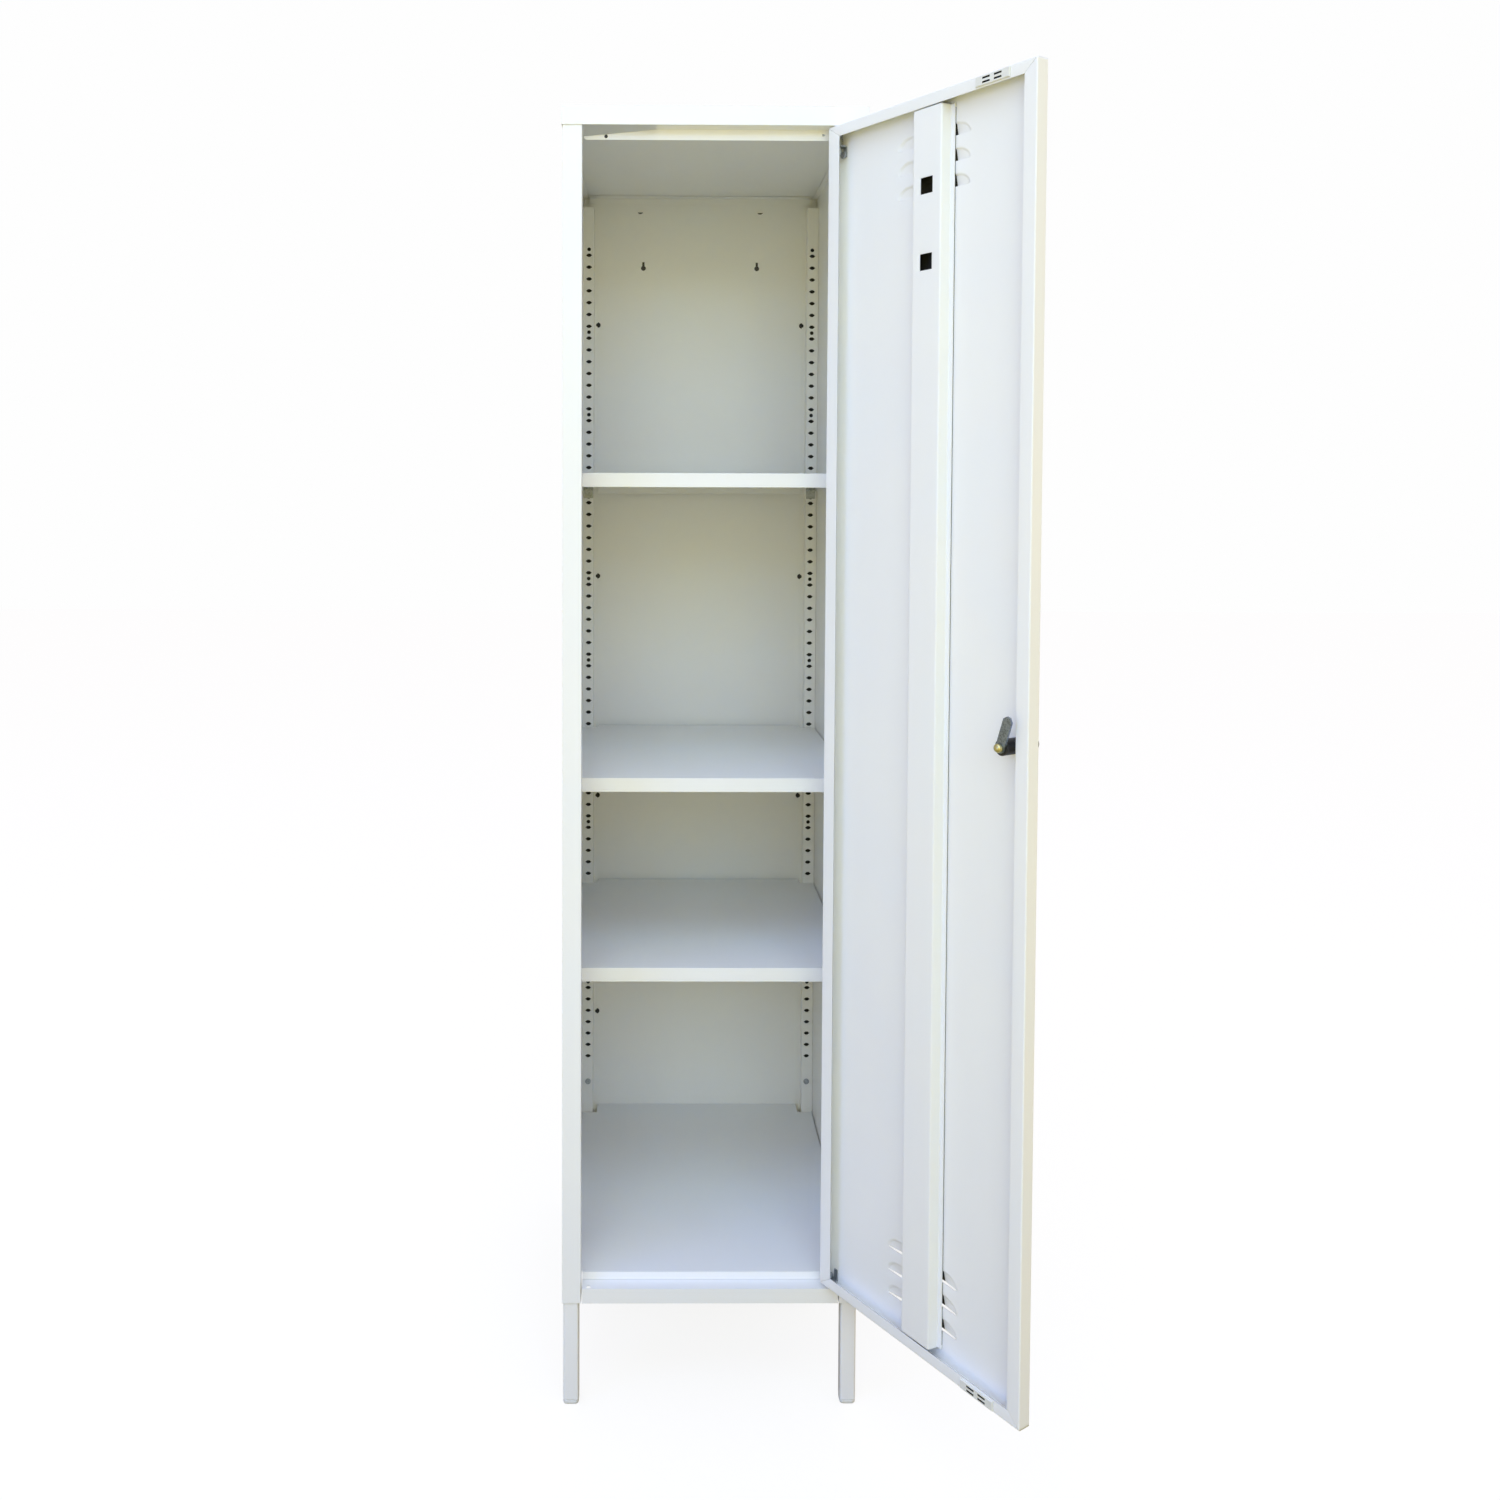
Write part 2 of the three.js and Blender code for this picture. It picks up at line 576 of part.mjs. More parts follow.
function doorPanel() {
  const back = DOOR_DEPTH;
  const [x0, x1] = [-DOOR_EDGE, DOOR_EDGE];
  const shell = block([x0, 0, DOOR_BOTTOM], [x1, back, DOOR_TOP]);
  const inside = block([x0 + SHEET, SHEET, DOOR_BOTTOM + SHEET], [x1 - SHEET, back - SHEET, DOOR_TOP - SHEET]);
  const mouth = block(
    [x0 + FREE_LIP, back - 2 * SHEET, DOOR_BOTTOM + DOOR_LIP],
    [x1 - HINGE_LIP, back + 1, DOOR_TOP - DOOR_LIP],
  );
  const rows = [...Array(LOUVRE_COUNT).keys()];
  const louvres = [
    ...rows.map((i) => louvre(DOOR_TOP - LOUVRE_FROM_TOP - i * LOUVRE_PITCH)),
    ...rows.map((i) => louvre(DOOR_BOTTOM + LOUVRE_FROM_BOTTOM + i * LOUVRE_PITCH)),
  ];
  const pan = join(cut(shell, inside, mouth), ...louvres.map((l) => l.hood));
  const [bodyWidth, bodyHeight] = CATCH_BODY;
  const catchHoles = [DOOR_TOP - DOOR_LIP / 2, DOOR_BOTTOM + DOOR_LIP / 2].map((z) =>
    block(
      [CATCH_X - bodyWidth / 2 - GAP, back - 3, z - bodyHeight / 2 - GAP],
      [CATCH_X + bodyWidth / 2 + GAP, back + 1, z + bodyHeight / 2 + GAP],
    ),
  );
  const pinHoles = [DOOR_TOP, DOOR_BOTTOM].map((z) =>
    rod("Z", PIVOT_X, PIVOT_BACK, PIN_DIAMETER + 2 * PIN_CLEARANCE, z - 3, z + 3),
  );
  const lockHole = rod("Y", LOCK_X, LOCK_Z, LOCK_BARREL + 2 * GAP, -3, 3);
  return cut(pan, ...louvres.map((l) => l.hollow), ...catchHoles, ...pinHoles, lockHole);
}

function doorStiffener() {
  const half = STIFFENER_FACE / 2;
  const foot = SHEET + GAP;
  const face = foot + STIFFENER_DEPTH;
  const section = folded([
    [STIFFENER_X + half + STIFFENER_SLOPE + STIFFENER_FOOT, foot + SHEET],
    [STIFFENER_X + half + STIFFENER_SLOPE, foot + SHEET],
    [STIFFENER_X + half, face],
    [STIFFENER_X - half, face],
    [STIFFENER_X - half - STIFFENER_SLOPE, foot + SHEET],
    [STIFFENER_X - half - STIFFENER_SLOPE - STIFFENER_FOOT, foot + SHEET],
  ]);
  const end = DOOR_LIP + STIFFENER_END_GAP;
  const hole = HANGER_HOLE / 2;
  const holes = HANGER_HOLE_Z.map((z) =>
    block([STIFFENER_X - hole, face - 3, z - hole], [STIFFENER_X + hole, face + 3, z + hole]),
  );
  return cut(prism(section, "Z", DOOR_BOTTOM + end, DOOR_TOP - end), ...holes);
}

// A magnetic catch: a plate on the rim's inner face, a body behind it, and two pairs of slots.
function magneticCatch(z) {
  const [bodyWidth, bodyHeight, bodyDepth] = CATCH_BODY;
  const back = DOOR_DEPTH;
  const plate = block(
    [CATCH_X - CATCH_WIDTH / 2, back + GAP, z - CATCH_HEIGHT / 2],
    [CATCH_X + CATCH_WIDTH / 2, back + CATCH_PROUD, z + CATCH_HEIGHT / 2],
  );
  const body = block(
    [CATCH_X - bodyWidth / 2, back - bodyDepth, z - bodyHeight / 2],
    [CATCH_X + bodyWidth / 2, back + CATCH_PROUD, z + bodyHeight / 2],
  );
  const [slotWidth, slotHeight] = CATCH_SLOT;
  const [gapX, gapZ] = CATCH_SLOT_GAP;
  const slots = [-1, 1].flatMap((sx) =>
    [-1, 1].map((sz) => {
      const cx = CATCH_X + (sx * (gapX + slotWidth)) / 2;
      const cz = z + (sz * (gapZ + slotHeight)) / 2;
      return block(
        [cx - slotWidth / 2, back + CATCH_PROUD - 1.5, cz - slotHeight / 2],
        [cx + slotWidth / 2, back + CATCH_PROUD + 1, cz + slotHeight / 2],
      );
    }),
  );
  return cut(join(plate, body), ...slots);
}

// ---------------------------------------------------------------- hinge pieces
const earZ = DOOR_TOP - EAR_DROP;
const collarZ = DOOR_TOP - 10;
const pinHole = (z0, z1) => rod("Z", PIVOT_X, PIVOT_BACK, PIN_DIAMETER + 2 * PIN_CLEARANCE, z0, z1);

// An ear across the corner of the door with a tab down its face. z is the ear's lower face.
function hingeBracket(z, tab) {
  const x1 = DOOR_EDGE - SHEET - GAP;
  const y0 = SHEET + GAP;
  const ear = block([x1 - 16, y0, z], [x1, y0 + 11, z + EAR_SHEET]);
  const [low, high] = tab > 0 ? [z, z + tab] : [z + tab, z + EAR_SHEET];
  const plate = block([x1 - 16, y0, low], [x1 - 10.5, y0 + EAR_SHEET, high]);
  return cut(join(ear, plate), pinHole(z - 1, z + EAR_SHEET + 1));
}

// The spring pin: its top stands in the cap's ledge, its collar takes the spring, and its foot is the pull.
function topHingePin() {
  const foot = earZ - 9;
  const pull = new THREE.Shape();
  const x = PIVOT_X - 6;
  pull.moveTo(PIVOT_X + 2, foot + 3);
  pull.lineTo(PIVOT_X + 2, foot);
  pull.absarc(x, foot - 1, 4, 0, -Math.PI, true);
  pull.lineTo(x - 4, foot + 3);
  return join(
    rod("Z", PIVOT_X, PIVOT_BACK, PIN_DIAMETER, foot, DOOR_TOP + PIN_RISE, 12),
    rod("Z", PIVOT_X, PIVOT_BACK, PIN_COLLAR, collarZ, collarZ + 2, 12),
    prism(pull, "Y", PIVOT_BACK - 1, PIVOT_BACK + 1, { curveSegments: 6 }),
  );
}

function hingeSpring() {
  const [z0, z1] = [earZ + EAR_SHEET + GAP + SPRING_WIRE, collarZ - GAP - SPRING_WIRE];
  const radius = PIN_DIAMETER / 2 + GAP + SPRING_WIRE / 2;
  const steps = SPRING_TURNS * 8;
  const points = [...Array(steps + 1).keys()].map((i) => {
    const t = i / steps;
    const turn = 2 * Math.PI * SPRING_TURNS * t;
    const [c, s] = [radius * Math.cos(turn), radius * Math.sin(turn)];
    return new THREE.Vector3(PIVOT_X + c, PIVOT_BACK + s, z0 + (z1 - z0) * t);
  });
  const wire = new THREE.Shape();
  wire.absarc(0, 0, SPRING_WIRE / 2, 0, 2 * Math.PI, false);
  const path = new THREE.CatmullRomCurve3(points);
  return solid(new THREE.ExtrudeGeometry(wire, { steps, extrudePath: path, curveSegments: 5 }));
}

function bottomHingePin() {
  const [low, high] = [DOOR_BOTTOM - BOTTOM_PIN_DEPTH, DOOR_BOTTOM + BOTTOM_PIN_TOP];
  return join(
    rod("Z", PIVOT_X, PIVOT_BACK, PIN_DIAMETER, low, high, 12),
    rod("Z", PIVOT_X, PIVOT_BACK, PIN_COLLAR, DOOR_BOTTOM + SHEET + GAP, DOOR_BOTTOM + SHEET + 2, 12),
  );
}

function hingeWasher() {
  return cut(
    rod("Z", PIVOT_X, PIVOT_BACK, 2 * PIVOT_BACK - 1, RAIL_TOP + GAP, DOOR_BOTTOM - GAP, 14),
    pinHole(RAIL_TOP, DOOR_BOTTOM),
  );
}

// ---------------------------------------------------------------- lock, drawn about its own axis
// In the lock group the axis is the Y axis, and the cam points up.
function lockBarrel() {
  const tube = rod("Y", LOCK_X, LOCK_Z, LOCK_BARREL, -GAP, CAM_Y - GAP, 18);
  return cut(tube, rod("Y", LOCK_X, LOCK_Z, SPINDLE + 2 * TURN_CLEARANCE, -2, CAM_Y + 2, 14));
}

function lockRose() {
  const rose = rod("Y", LOCK_X, LOCK_Z, ROSE_DIAMETER, -ROSE_HEIGHT - 2 * GAP, -2 * GAP, 24);
  return cut(rose, rod("Y", LOCK_X, LOCK_Z, SPINDLE + 2 * TURN_CLEARANCE, -ROSE_HEIGHT - 3, 2, 14));
}

function lockCam() {
  const r = CAM_WIDTH / 2;
  const shape = new THREE.Shape();
  shape.absarc(0, 0, r, Math.PI, 2 * Math.PI, false);
  shape.lineTo(r, CAM_REACH - 4);
  shape.lineTo(r - 4, CAM_REACH);
  shape.lineTo(-r + 4, CAM_REACH);
  shape.lineTo(-r, CAM_REACH - 4);
  const plate = prism(shape, "Y", CAM_Y, CAM_Y + CAM_SHEET, { curveSegments: 8 });
  return cut(plate, rod("Y", 0, 0, STUD + 2 * GAP, CAM_Y - 1, CAM_Y + CAM_SHEET + 1, 12));
}

// The lever outside the door, with the spindle and threaded stud that carry the cam.
function turnHandle() {
  const neck = -ROSE_HEIGHT - 3 * GAP;
  const boss = rod("Y", 0, 0, HANDLE_BOSS, -HANDLE_PROUD, neck, 20);
  const r = HANDLE_BOSS / 2;
  const arm = new THREE.Shape();
  arm.absarc(0, 0, r, 0, Math.PI, false);
  arm.lineTo(-r + 3, -HANDLE_ARM + 5);
  arm.absarc(0, -HANDLE_ARM + 5, r - 3, Math.PI, 2 * Math.PI, false);
  return join(
    boss,
    prism(arm, "Y", -HANDLE_PROUD, -HANDLE_PROUD + HANDLE_THICKNESS, { curveSegments: 8 }),
    rod("Y", 0, 0, SPINDLE, neck - 1, CAM_Y - 2 * GAP, 14),
    rod("Y", 0, 0, STUD, 0, CAM_Y + CAM_SHEET + NUT_HEIGHT - 2, 10),
  );
}

function camNut() {
  const start = CAM_Y + CAM_SHEET + GAP;
  const r = NUT_DIAMETER / 2;
  const bore = STUD / 2 + GAP;
  const dome = [...Array(4).keys()].map((i) => {
    const angle = (i / 3) * (Math.PI / 2);
    return new THREE.Vector2(r * Math.cos(angle), NUT_HEIGHT / 2 + (NUT_HEIGHT / 2) * Math.sin(angle));
  });
  const profile = [
    new THREE.Vector2(bore, 0),
    new THREE.Vector2(r, 0),
    ...dome.slice(0, -1),
    new THREE.Vector2(0, NUT_HEIGHT),
    new THREE.Vector2(0, NUT_HEIGHT - 1.2),
    new THREE.Vector2(bore, NUT_HEIGHT - 1.8),
    new THREE.Vector2(bore, 0),
  ];
  return solid(new THREE.LatheGeometry(profile, 14).translate(0, start, 0));
}

// ---------------------------------------------------------------- assembly
add(locker, "top_cap", topCap(), WHITE_COAT);
add(locker, "top_stop_rail", topStopRail(), WHITE_COAT);
add(locker, "rear_top_angle", rearTopAngle(), WHITE_COAT);
addPair((side) => side + "_side_panel", leftSidePanel(), WHITE_COAT);
add(locker, "back_panel", backPanel(), WHITE_COAT);
add(locker, "floor_panel", floorPanel(), SHELF_COAT);
add(locker, "bottom_front_rail", bottomRail(), WHITE_COAT);
addPair((side) => side + "_rear_upright", leftRearUpright(), WHITE_COAT);
addPair((side) => side + "_front_upright", leftFrontUpright(), WHITE_COAT);

Object.entries(SHELF_TOPS).forEach(([name, top]) => {
  add(locker, name, shelf(top), SHELF_COAT);
  addPair((side) => `${name}_clip_front_${side}`, leftClip(top, FRONT_UPRIGHT_Y, 1), ZINC);
  addPair((side) => `${name}_clip_rear_${side}`, leftClip(top, REAR_UPRIGHT_Y, -1), ZINC);
});

Object.entries(LEGS).forEach(([end, place]) => {
  addPair((side) => `${end}_${side}_leg`, leftLeg(place), WHITE_COAT);
  addPair((side) => `${end}_${side}_foot`, leftFoot(place), WHITE_PLASTIC);
});

const screw = rod("Y", -SLOT_X, UPRIGHT_SCREW_Z, SCREW_HEAD, REAR_UPRIGHT_Y - 2.5, REAR_UPRIGHT_Y - GAP, 12);
addPair((side) => side + "_upright_screw", screw, ZINC);

add(door, "door_panel", doorPanel(), WHITE_COAT);
add(door, "door_stiffener", doorStiffener(), WHITE_COAT);
add(door, "top_catch", magneticCatch(DOOR_TOP - DOOR_LIP / 2), WHITE_PLASTIC);
add(door, "bottom_catch", magneticCatch(DOOR_BOTTOM + DOOR_LIP / 2), WHITE_PLASTIC);
add(door, "top_hinge_bracket", hingeBracket(earZ, -12), ZINC);
add(door, "top_hinge_pin", topHingePin(), ZINC);
add(door, "top_hinge_spring", hingeSpring(), ZINC);
add(door, "bottom_hinge_bracket", hingeBracket(DOOR_BOTTOM + SHEET + 4, 14), ZINC);
add(door, "bottom_hinge_pin", bottomHingePin(), ZINC);
add(door, "bottom_hinge_washer", hingeWasher(), WHITE_PLASTIC);
add(door, "lock_barrel", lockBarrel(), BLACK);
add(door, "lock_rose", lockRose(), BLACK);

add(lock, "lock_cam", lockCam(), CAM_STEEL);
add(lock, "cam_nut", camNut(), BRASS);
add(lock, "turn_handle", turnHandle(), BLACK);
lock.position.set(LOCK_X, 0, LOCK_Z);
lock.rotation.y = THREE.MathUtils.degToRad(-CAM_TILT);
door.add(lock);

// The door turns about its pins: its pieces hang in an inner group that puts the axis at the origin.
const hung = new THREE.Group();
door.position.set(-PIVOT_X, -PIVOT_BACK, 0);
hung.add(door);
hung.position.set(PIVOT_X, PIVOT_BACK, 0);
hung.rotation.z = THREE.MathUtils.degToRad(DOOR_OPEN);
locker.add(hung);

const part = new THREE.Group();
part.add(locker);
const box = new THREE.Box3().setFromObject(locker);
locker.position.set(-Math.round((box.min.x + box.max.x) / 2), -Math.round((box.min.y + box.max.y) / 2), 0);

export default part;
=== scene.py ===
# %% [markdown]
# A tall single-door locker of folded sheet steel, standing on four square legs with its door wide open.
# Every panel is one thin sheet with small bends, and all of them share one glossy white powder coat, so the
# object is read from three things: soft light in the compartments, the dark rows of slots, and crisp edges.
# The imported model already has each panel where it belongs. It stays wherever its shape is right, and pieces
# with pressed or bent shapes are worked out again here as surfaces.

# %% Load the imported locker
import json
import math

import bmesh
import bpy
import numpy as np
from mathutils import Matrix, Vector


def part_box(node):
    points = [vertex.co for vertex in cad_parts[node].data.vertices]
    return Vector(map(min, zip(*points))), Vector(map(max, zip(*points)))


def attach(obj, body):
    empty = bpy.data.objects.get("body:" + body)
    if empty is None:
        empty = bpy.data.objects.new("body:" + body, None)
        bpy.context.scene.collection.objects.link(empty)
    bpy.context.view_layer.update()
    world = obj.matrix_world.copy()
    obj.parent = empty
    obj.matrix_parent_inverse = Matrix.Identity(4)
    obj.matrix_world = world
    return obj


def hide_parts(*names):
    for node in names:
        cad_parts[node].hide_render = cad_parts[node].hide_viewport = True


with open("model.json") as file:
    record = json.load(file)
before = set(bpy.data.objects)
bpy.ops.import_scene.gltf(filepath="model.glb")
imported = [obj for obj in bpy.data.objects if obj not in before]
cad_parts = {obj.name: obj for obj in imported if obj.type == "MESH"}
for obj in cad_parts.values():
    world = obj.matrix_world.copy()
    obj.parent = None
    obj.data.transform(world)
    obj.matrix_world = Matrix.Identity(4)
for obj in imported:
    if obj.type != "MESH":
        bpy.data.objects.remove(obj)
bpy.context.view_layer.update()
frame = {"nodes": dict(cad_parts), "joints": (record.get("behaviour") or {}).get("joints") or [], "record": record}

MM = 0.001

# %% [markdown]
# All lengths below are millimetres in the locker's own frame: X from its middle, Y back from the front of
# its posts, Z up from the floor. Pieces of the door are drawn closed, flat in the doorway, and then swung
# open about the two hinge pins. Drawing a swung part in its closed place keeps every number square and easy
# to check.

# %% Places
side_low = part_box("left_side_panel")[0]
side_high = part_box("right_side_panel")[1]
MIDDLE = np.array([(side_low.x + side_high.x) / 2, side_low.y, 0.0])
DOORWAY_HALF = (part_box("left_side_panel")[1].x - MIDDLE[0]) / -MM

joints = {joint["name"]: joint for joint in frame["joints"]}
PIVOT = np.array(joints["door_hinge"]["pos_m"])
OPEN_ANGLE = -math.radians(joints["door_hinge"]["range_deg"][0])


def in_locker(points):
    """Millimetres in the locker's frame to metres in the row's frame: scale, then shift."""
    return np.asarray(points, float) * MM + MIDDLE


def in_door(points):
    """Closed-door millimetres to metres, turned open: the offset from the pins is turned about the upright
    axis, x to x cos a - y sin a and y to x sin a + y cos a."""
    x, y, z = np.moveaxis(in_locker(points) - PIVOT, -1, 0)
    c, s = math.cos(OPEN_ANGLE), math.sin(OPEN_ANGLE)
    return np.stack([x * c - y * s, x * s + y * c, z], -1) + PIVOT


def from_door(points):
    """The way back: metres on the open door to closed-door millimetres, by the same turn the other way."""
    x, y, z = np.moveaxis(np.asarray(points, float) - PIVOT, -1, 0)
    c, s = math.cos(OPEN_ANGLE), math.sin(OPEN_ANGLE)
    return (np.stack([x * c + y * s, y * c - x * s, z], -1) + PIVOT - MIDDLE) / MM


def box_mm(node):
    """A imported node's lowest and highest corner, in millimetres of the locker's frame."""
    low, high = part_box(node)
    return (np.array(low) - MIDDLE) / MM, (np.array(high) - MIDDLE) / MM


print("doorway half width %.1f mm, door open %.1f degrees" % (DOORWAY_HALF, math.degrees(OPEN_ANGLE)))

# %% [markdown]
# The camera stands a little above the middle of the locker, to the left of it, and looks almost straight
# ahead. Its lens is slightly wide. The picture is shifted a little so that the verticals stay parallel, as
# an architectural photographer would do.

# %% Camera
CAMERA_PLACE = (-79.7, -1657.3, 1166.45)
PITCH, YAW, ROLL = (math.radians(angle) for angle in (2.11, 0.41, 0.19))

camera = bpy.data.objects.new("camera", bpy.data.cameras.new("camera"))
bpy.context.scene.collection.objects.link(camera)
ahead = Vector((math.sin(YAW) * math.cos(PITCH), math.cos(YAW) * math.cos(PITCH), -math.sin(PITCH)))
right = Vector((math.cos(YAW), -math.sin(YAW), 0.0))
up = right.cross(ahead)
rolled_right = right * math.cos(ROLL) + up * math.sin(ROLL)
rolled_up = up * math.cos(ROLL) - right * math.sin(ROLL)
turn = Matrix((rolled_right, rolled_up, -ahead)).transposed().to_4x4()
camera.matrix_world = Matrix.Translation(Vector(in_locker(CAMERA_PLACE))) @ turn
camera.data.lens = 31.65
camera.data.shift_x = 0.0603
camera.data.shift_y = -0.1347
camera.data.clip_start = 0.05
bpy.context.scene.camera = camera
bpy.context.scene.view_settings.view_transform = "Standard"
print("camera at", [round(v, 3) for v in camera.location])

# %% [markdown]
# Colours are picked as sRGB hex values, as a paint chart gives them, and Blender wants linear light. One
# function turns one into the other. Another adds a shader node with its settings and its links, so that a
# material reads from top to bottom like a recipe.


# %% Colour and node helpers
def linear(hex_value):
    """sRGB hex to linear RGBA. Each channel is c / 12.92 below 0.04045, and above it ((c + 0.055) / 1.055) to
    the power 2.4."""
    channels = [int(hex_value[i : i + 2], 16) / 255 for i in (1, 3, 5)]
    return [c / 12.92 if c < 0.04045 else ((c + 0.055) / 1.055) ** 2.4 for c in channels] + [1.0]


def add_node(tree, kind, values=None, links=None, **settings):
    """Adds one node. values sets its input sockets and links feeds them from other nodes' outputs."""
    made = tree.nodes.new(kind)
    for name, value in settings.items():
        setattr(made, name, value)
    for name, value in (values or {}).items():
        made.inputs[name].default_value = value
    for name, source in (links or {}).items():
        tree.links.new(source, made.inputs[name])
    return made


def blank_material(name):
    material = bpy.data.materials.new(name)
    material.use_nodes = True
    tree = material.node_tree
    tree.nodes.clear()
    return material, tree


def finish_material(tree, shader, height=None, depth=0.0):
    """Links the shader to the output, with an optional bump of the given depth in metres."""
    if height is not None:
        bump = add_node(tree, "ShaderNodeBump", {"Strength": 1.0, "Distance": depth}, {"Height": height})
        tree.links.new(bump.outputs["Normal"], shader.inputs["Normal"])
    add_node(tree, "ShaderNodeOutputMaterial", links={"Surface": shader.outputs[0]})


# %% [markdown]
# Powder coat is a plastic skin, sprayed as dry powder and baked on. It melts into a smooth, slightly wavy
# gloss that painters call orange peel: ripples about 2 mm long and a few hundredths of a millimetre deep.
# The colour is even, with only a faint warm and cool drift over a hand's breadth, and a little less gloss
# where hands rub. Noise on Object coordinates gives all three, because an object here sits at the origin
# and its coordinates are real metres.


# %% Powder coat
def powder_coat(name, colour, cool, warm, roughness):
    material, tree = blank_material(name)
    place = add_node(tree, "ShaderNodeTexCoord")
    drift = add_node(
        tree, "ShaderNodeTexNoise", {"Scale": 1 / 0.12, "Detail": 3.0, "Roughness": 0.5},
        {"Vector": place.outputs["Object"]},
    )
    tint = add_node(tree, "ShaderNodeValToRGB", links={"Fac": drift.outputs["Fac"]})
    tint.color_ramp.elements[0].position = 0.35
    tint.color_ramp.elements[0].color = linear(cool)
    tint.color_ramp.elements[1].position = 0.65
    tint.color_ramp.elements[1].color = linear(warm)
    middle = tint.color_ramp.elements.new(0.5)
    middle.color = linear(colour)
    rub = add_node(
        tree, "ShaderNodeTexNoise", {"Scale": 1 / 0.03, "Detail": 4.0, "Roughness": 0.6},
        {"Vector": place.outputs["Object"]},
    )
    gloss = add_node(
        tree, "ShaderNodeMapRange",
        {"From Min": 0.3, "From Max": 0.7, "To Min": roughness - 0.04, "To Max": roughness + 0.05},
        {"Value": rub.outputs["Fac"]},
    )
    peel = add_node(
        tree, "ShaderNodeTexNoise", {"Scale": 1 / 0.002, "Detail": 1.0, "Roughness": 0.4},
        {"Vector": place.outputs["Object"]},
    )
    shader = add_node(
        tree, "ShaderNodeBsdfPrincipled", {"IOR": 1.5},
        {"Base Color": tint.outputs["Color"], "Roughness": gloss.outputs["Result"]},
    )
    finish_material(tree, shader, peel.outputs["Fac"], 0.00001)
    return material


white_coat = powder_coat("white_powder_coat", "#F5F5F4", "#F4F5F5", "#F6F6F4", 0.32)
print("powder coat has", len(white_coat.node_tree.nodes), "nodes")

# %% [markdown]
# The small hardware is steel with a thin zinc plate: a grey, slightly blotchy metal, because the crystals
# of zinc turn the light differently from one millimetre to the next. The cam has the same plate over
# coarser steel, and is darker. The nut is brass, turned bright, with fine rings from the lathe. Metals keep
# the default IOR.


# %% Metals
def plated_metal(name, colour, shade, roughness, spangle_mm):
    material, tree = blank_material(name)
    place = add_node(tree, "ShaderNodeTexCoord")
    crystals = add_node(
        tree, "ShaderNodeTexVoronoi", {"Scale": 1 / (spangle_mm * MM)}, {"Vector": place.outputs["Object"]}
    )
    cloud = add_node(
        tree, "ShaderNodeTexNoise", {"Scale": 1 / 0.006, "Detail": 4.0}, {"Vector": place.outputs["Object"]}
    )
    blotch = add_node(
        tree, "ShaderNodeMix", {"Factor": 0.5}, {"A": crystals.outputs["Distance"], "B": cloud.outputs["Fac"]}
    )
    tint = add_node(tree, "ShaderNodeValToRGB", links={"Fac": blotch.outputs["Result"]})
    tint.color_ramp.elements[0].position = 0.3
    tint.color_ramp.elements[0].color = linear(shade)
    tint.color_ramp.elements[1].position = 0.6
    tint.color_ramp.elements[1].color = linear(colour)
    gloss = add_node(
        tree, "ShaderNodeMapRange", {"To Min": roughness - 0.08, "To Max": roughness + 0.1},
        {"Value": cloud.outputs["Fac"]},
    )
    shader = add_node(
        tree, "ShaderNodeBsdfPrincipled", {"Metallic": 1.0},
        {"Base Color": tint.outputs["Color"], "Roughness": gloss.outputs["Result"]},
    )
    finish_material(tree, shader, cloud.outputs["Fac"], 0.00004)
    return material


zinc_plate = plated_metal("zinc_plated_steel", "#B9BDC1", "#8E9499", 0.38, 1.5)
cam_steel = plated_metal("dull_plated_cam_steel", "#8E99A8", "#6A7482", 0.42, 2.0)
turned_brass = plated_metal("turned_brass", "#D2C68E", "#B5A86A", 0.3, 0.8)

# %% [markdown]
# The handle and the lock body are glass-filled nylon, moulded against a spark-eroded tool, which leaves a
# fine even grain and a satin black. The catches, feet and washer are white polypropylene, a little softer
# and warmer than the paint around them. Steel that no paint reaches keeps its phosphate bath: a matt,
# nearly black crust that reflects like a plastic and not like a metal, so it is made by the same function.
# The same dark finish is also used as painted shade, laid into hollows where shade falls.


# %% Plastics and bare steel
def moulded_plastic(name, colour, shade, roughness, grain_mm, depth):
    material, tree = blank_material(name)
    place = add_node(tree, "ShaderNodeTexCoord")
    grain = add_node(
        tree, "ShaderNodeTexNoise", {"Scale": 1 / (grain_mm * MM), "Detail": 2.0},
        {"Vector": place.outputs["Object"]},
    )
    flow = add_node(
        tree, "ShaderNodeTexNoise", {"Scale": 1 / 0.015, "Detail": 2.0}, {"Vector": place.outputs["Object"]}
    )
    ramp = add_node(tree, "ShaderNodeValToRGB", links={"Fac": flow.outputs["Fac"]})
    ramp.color_ramp.elements[0].position = 0.3
    ramp.color_ramp.elements[0].color = linear(shade)
    ramp.color_ramp.elements[1].position = 0.7
    ramp.color_ramp.elements[1].color = linear(colour)
    shader = add_node(
        tree, "ShaderNodeBsdfPrincipled", {"Roughness": roughness, "IOR": 1.5},
        {"Base Color": ramp.outputs["Color"]},
    )
    finish_material(tree, shader, grain.outputs["Fac"], depth)
    return material


black_nylon = moulded_plastic("black_glass_filled_nylon", "#232326", "#19191B", 0.42, 0.35, 0.00005)
white_polypropylene = moulded_plastic("white_polypropylene", "#E9E9E4", "#E2E2DC", 0.45, 0.5, 0.00003)
# A dark finish: the screws' own bare steel, and elsewhere painted shade in hollows.
bare_steel_and_painted_shade = moulded_plastic("phosphated_steel_and_painted_shade", "#2C2B28", "#232320", 0.7, 0.8, 0.00002)

FINISHES = {
    "white_powder_coat": white_coat,
    "zinc_plated_steel": zinc_plate,
    "dark_steel": cam_steel,
    "bare_steel_and_painted_shade": bare_steel_and_painted_shade,
    "brass": turned_brass,
    "black_nylon": black_nylon,
    "white_plastic": white_polypropylene,
}

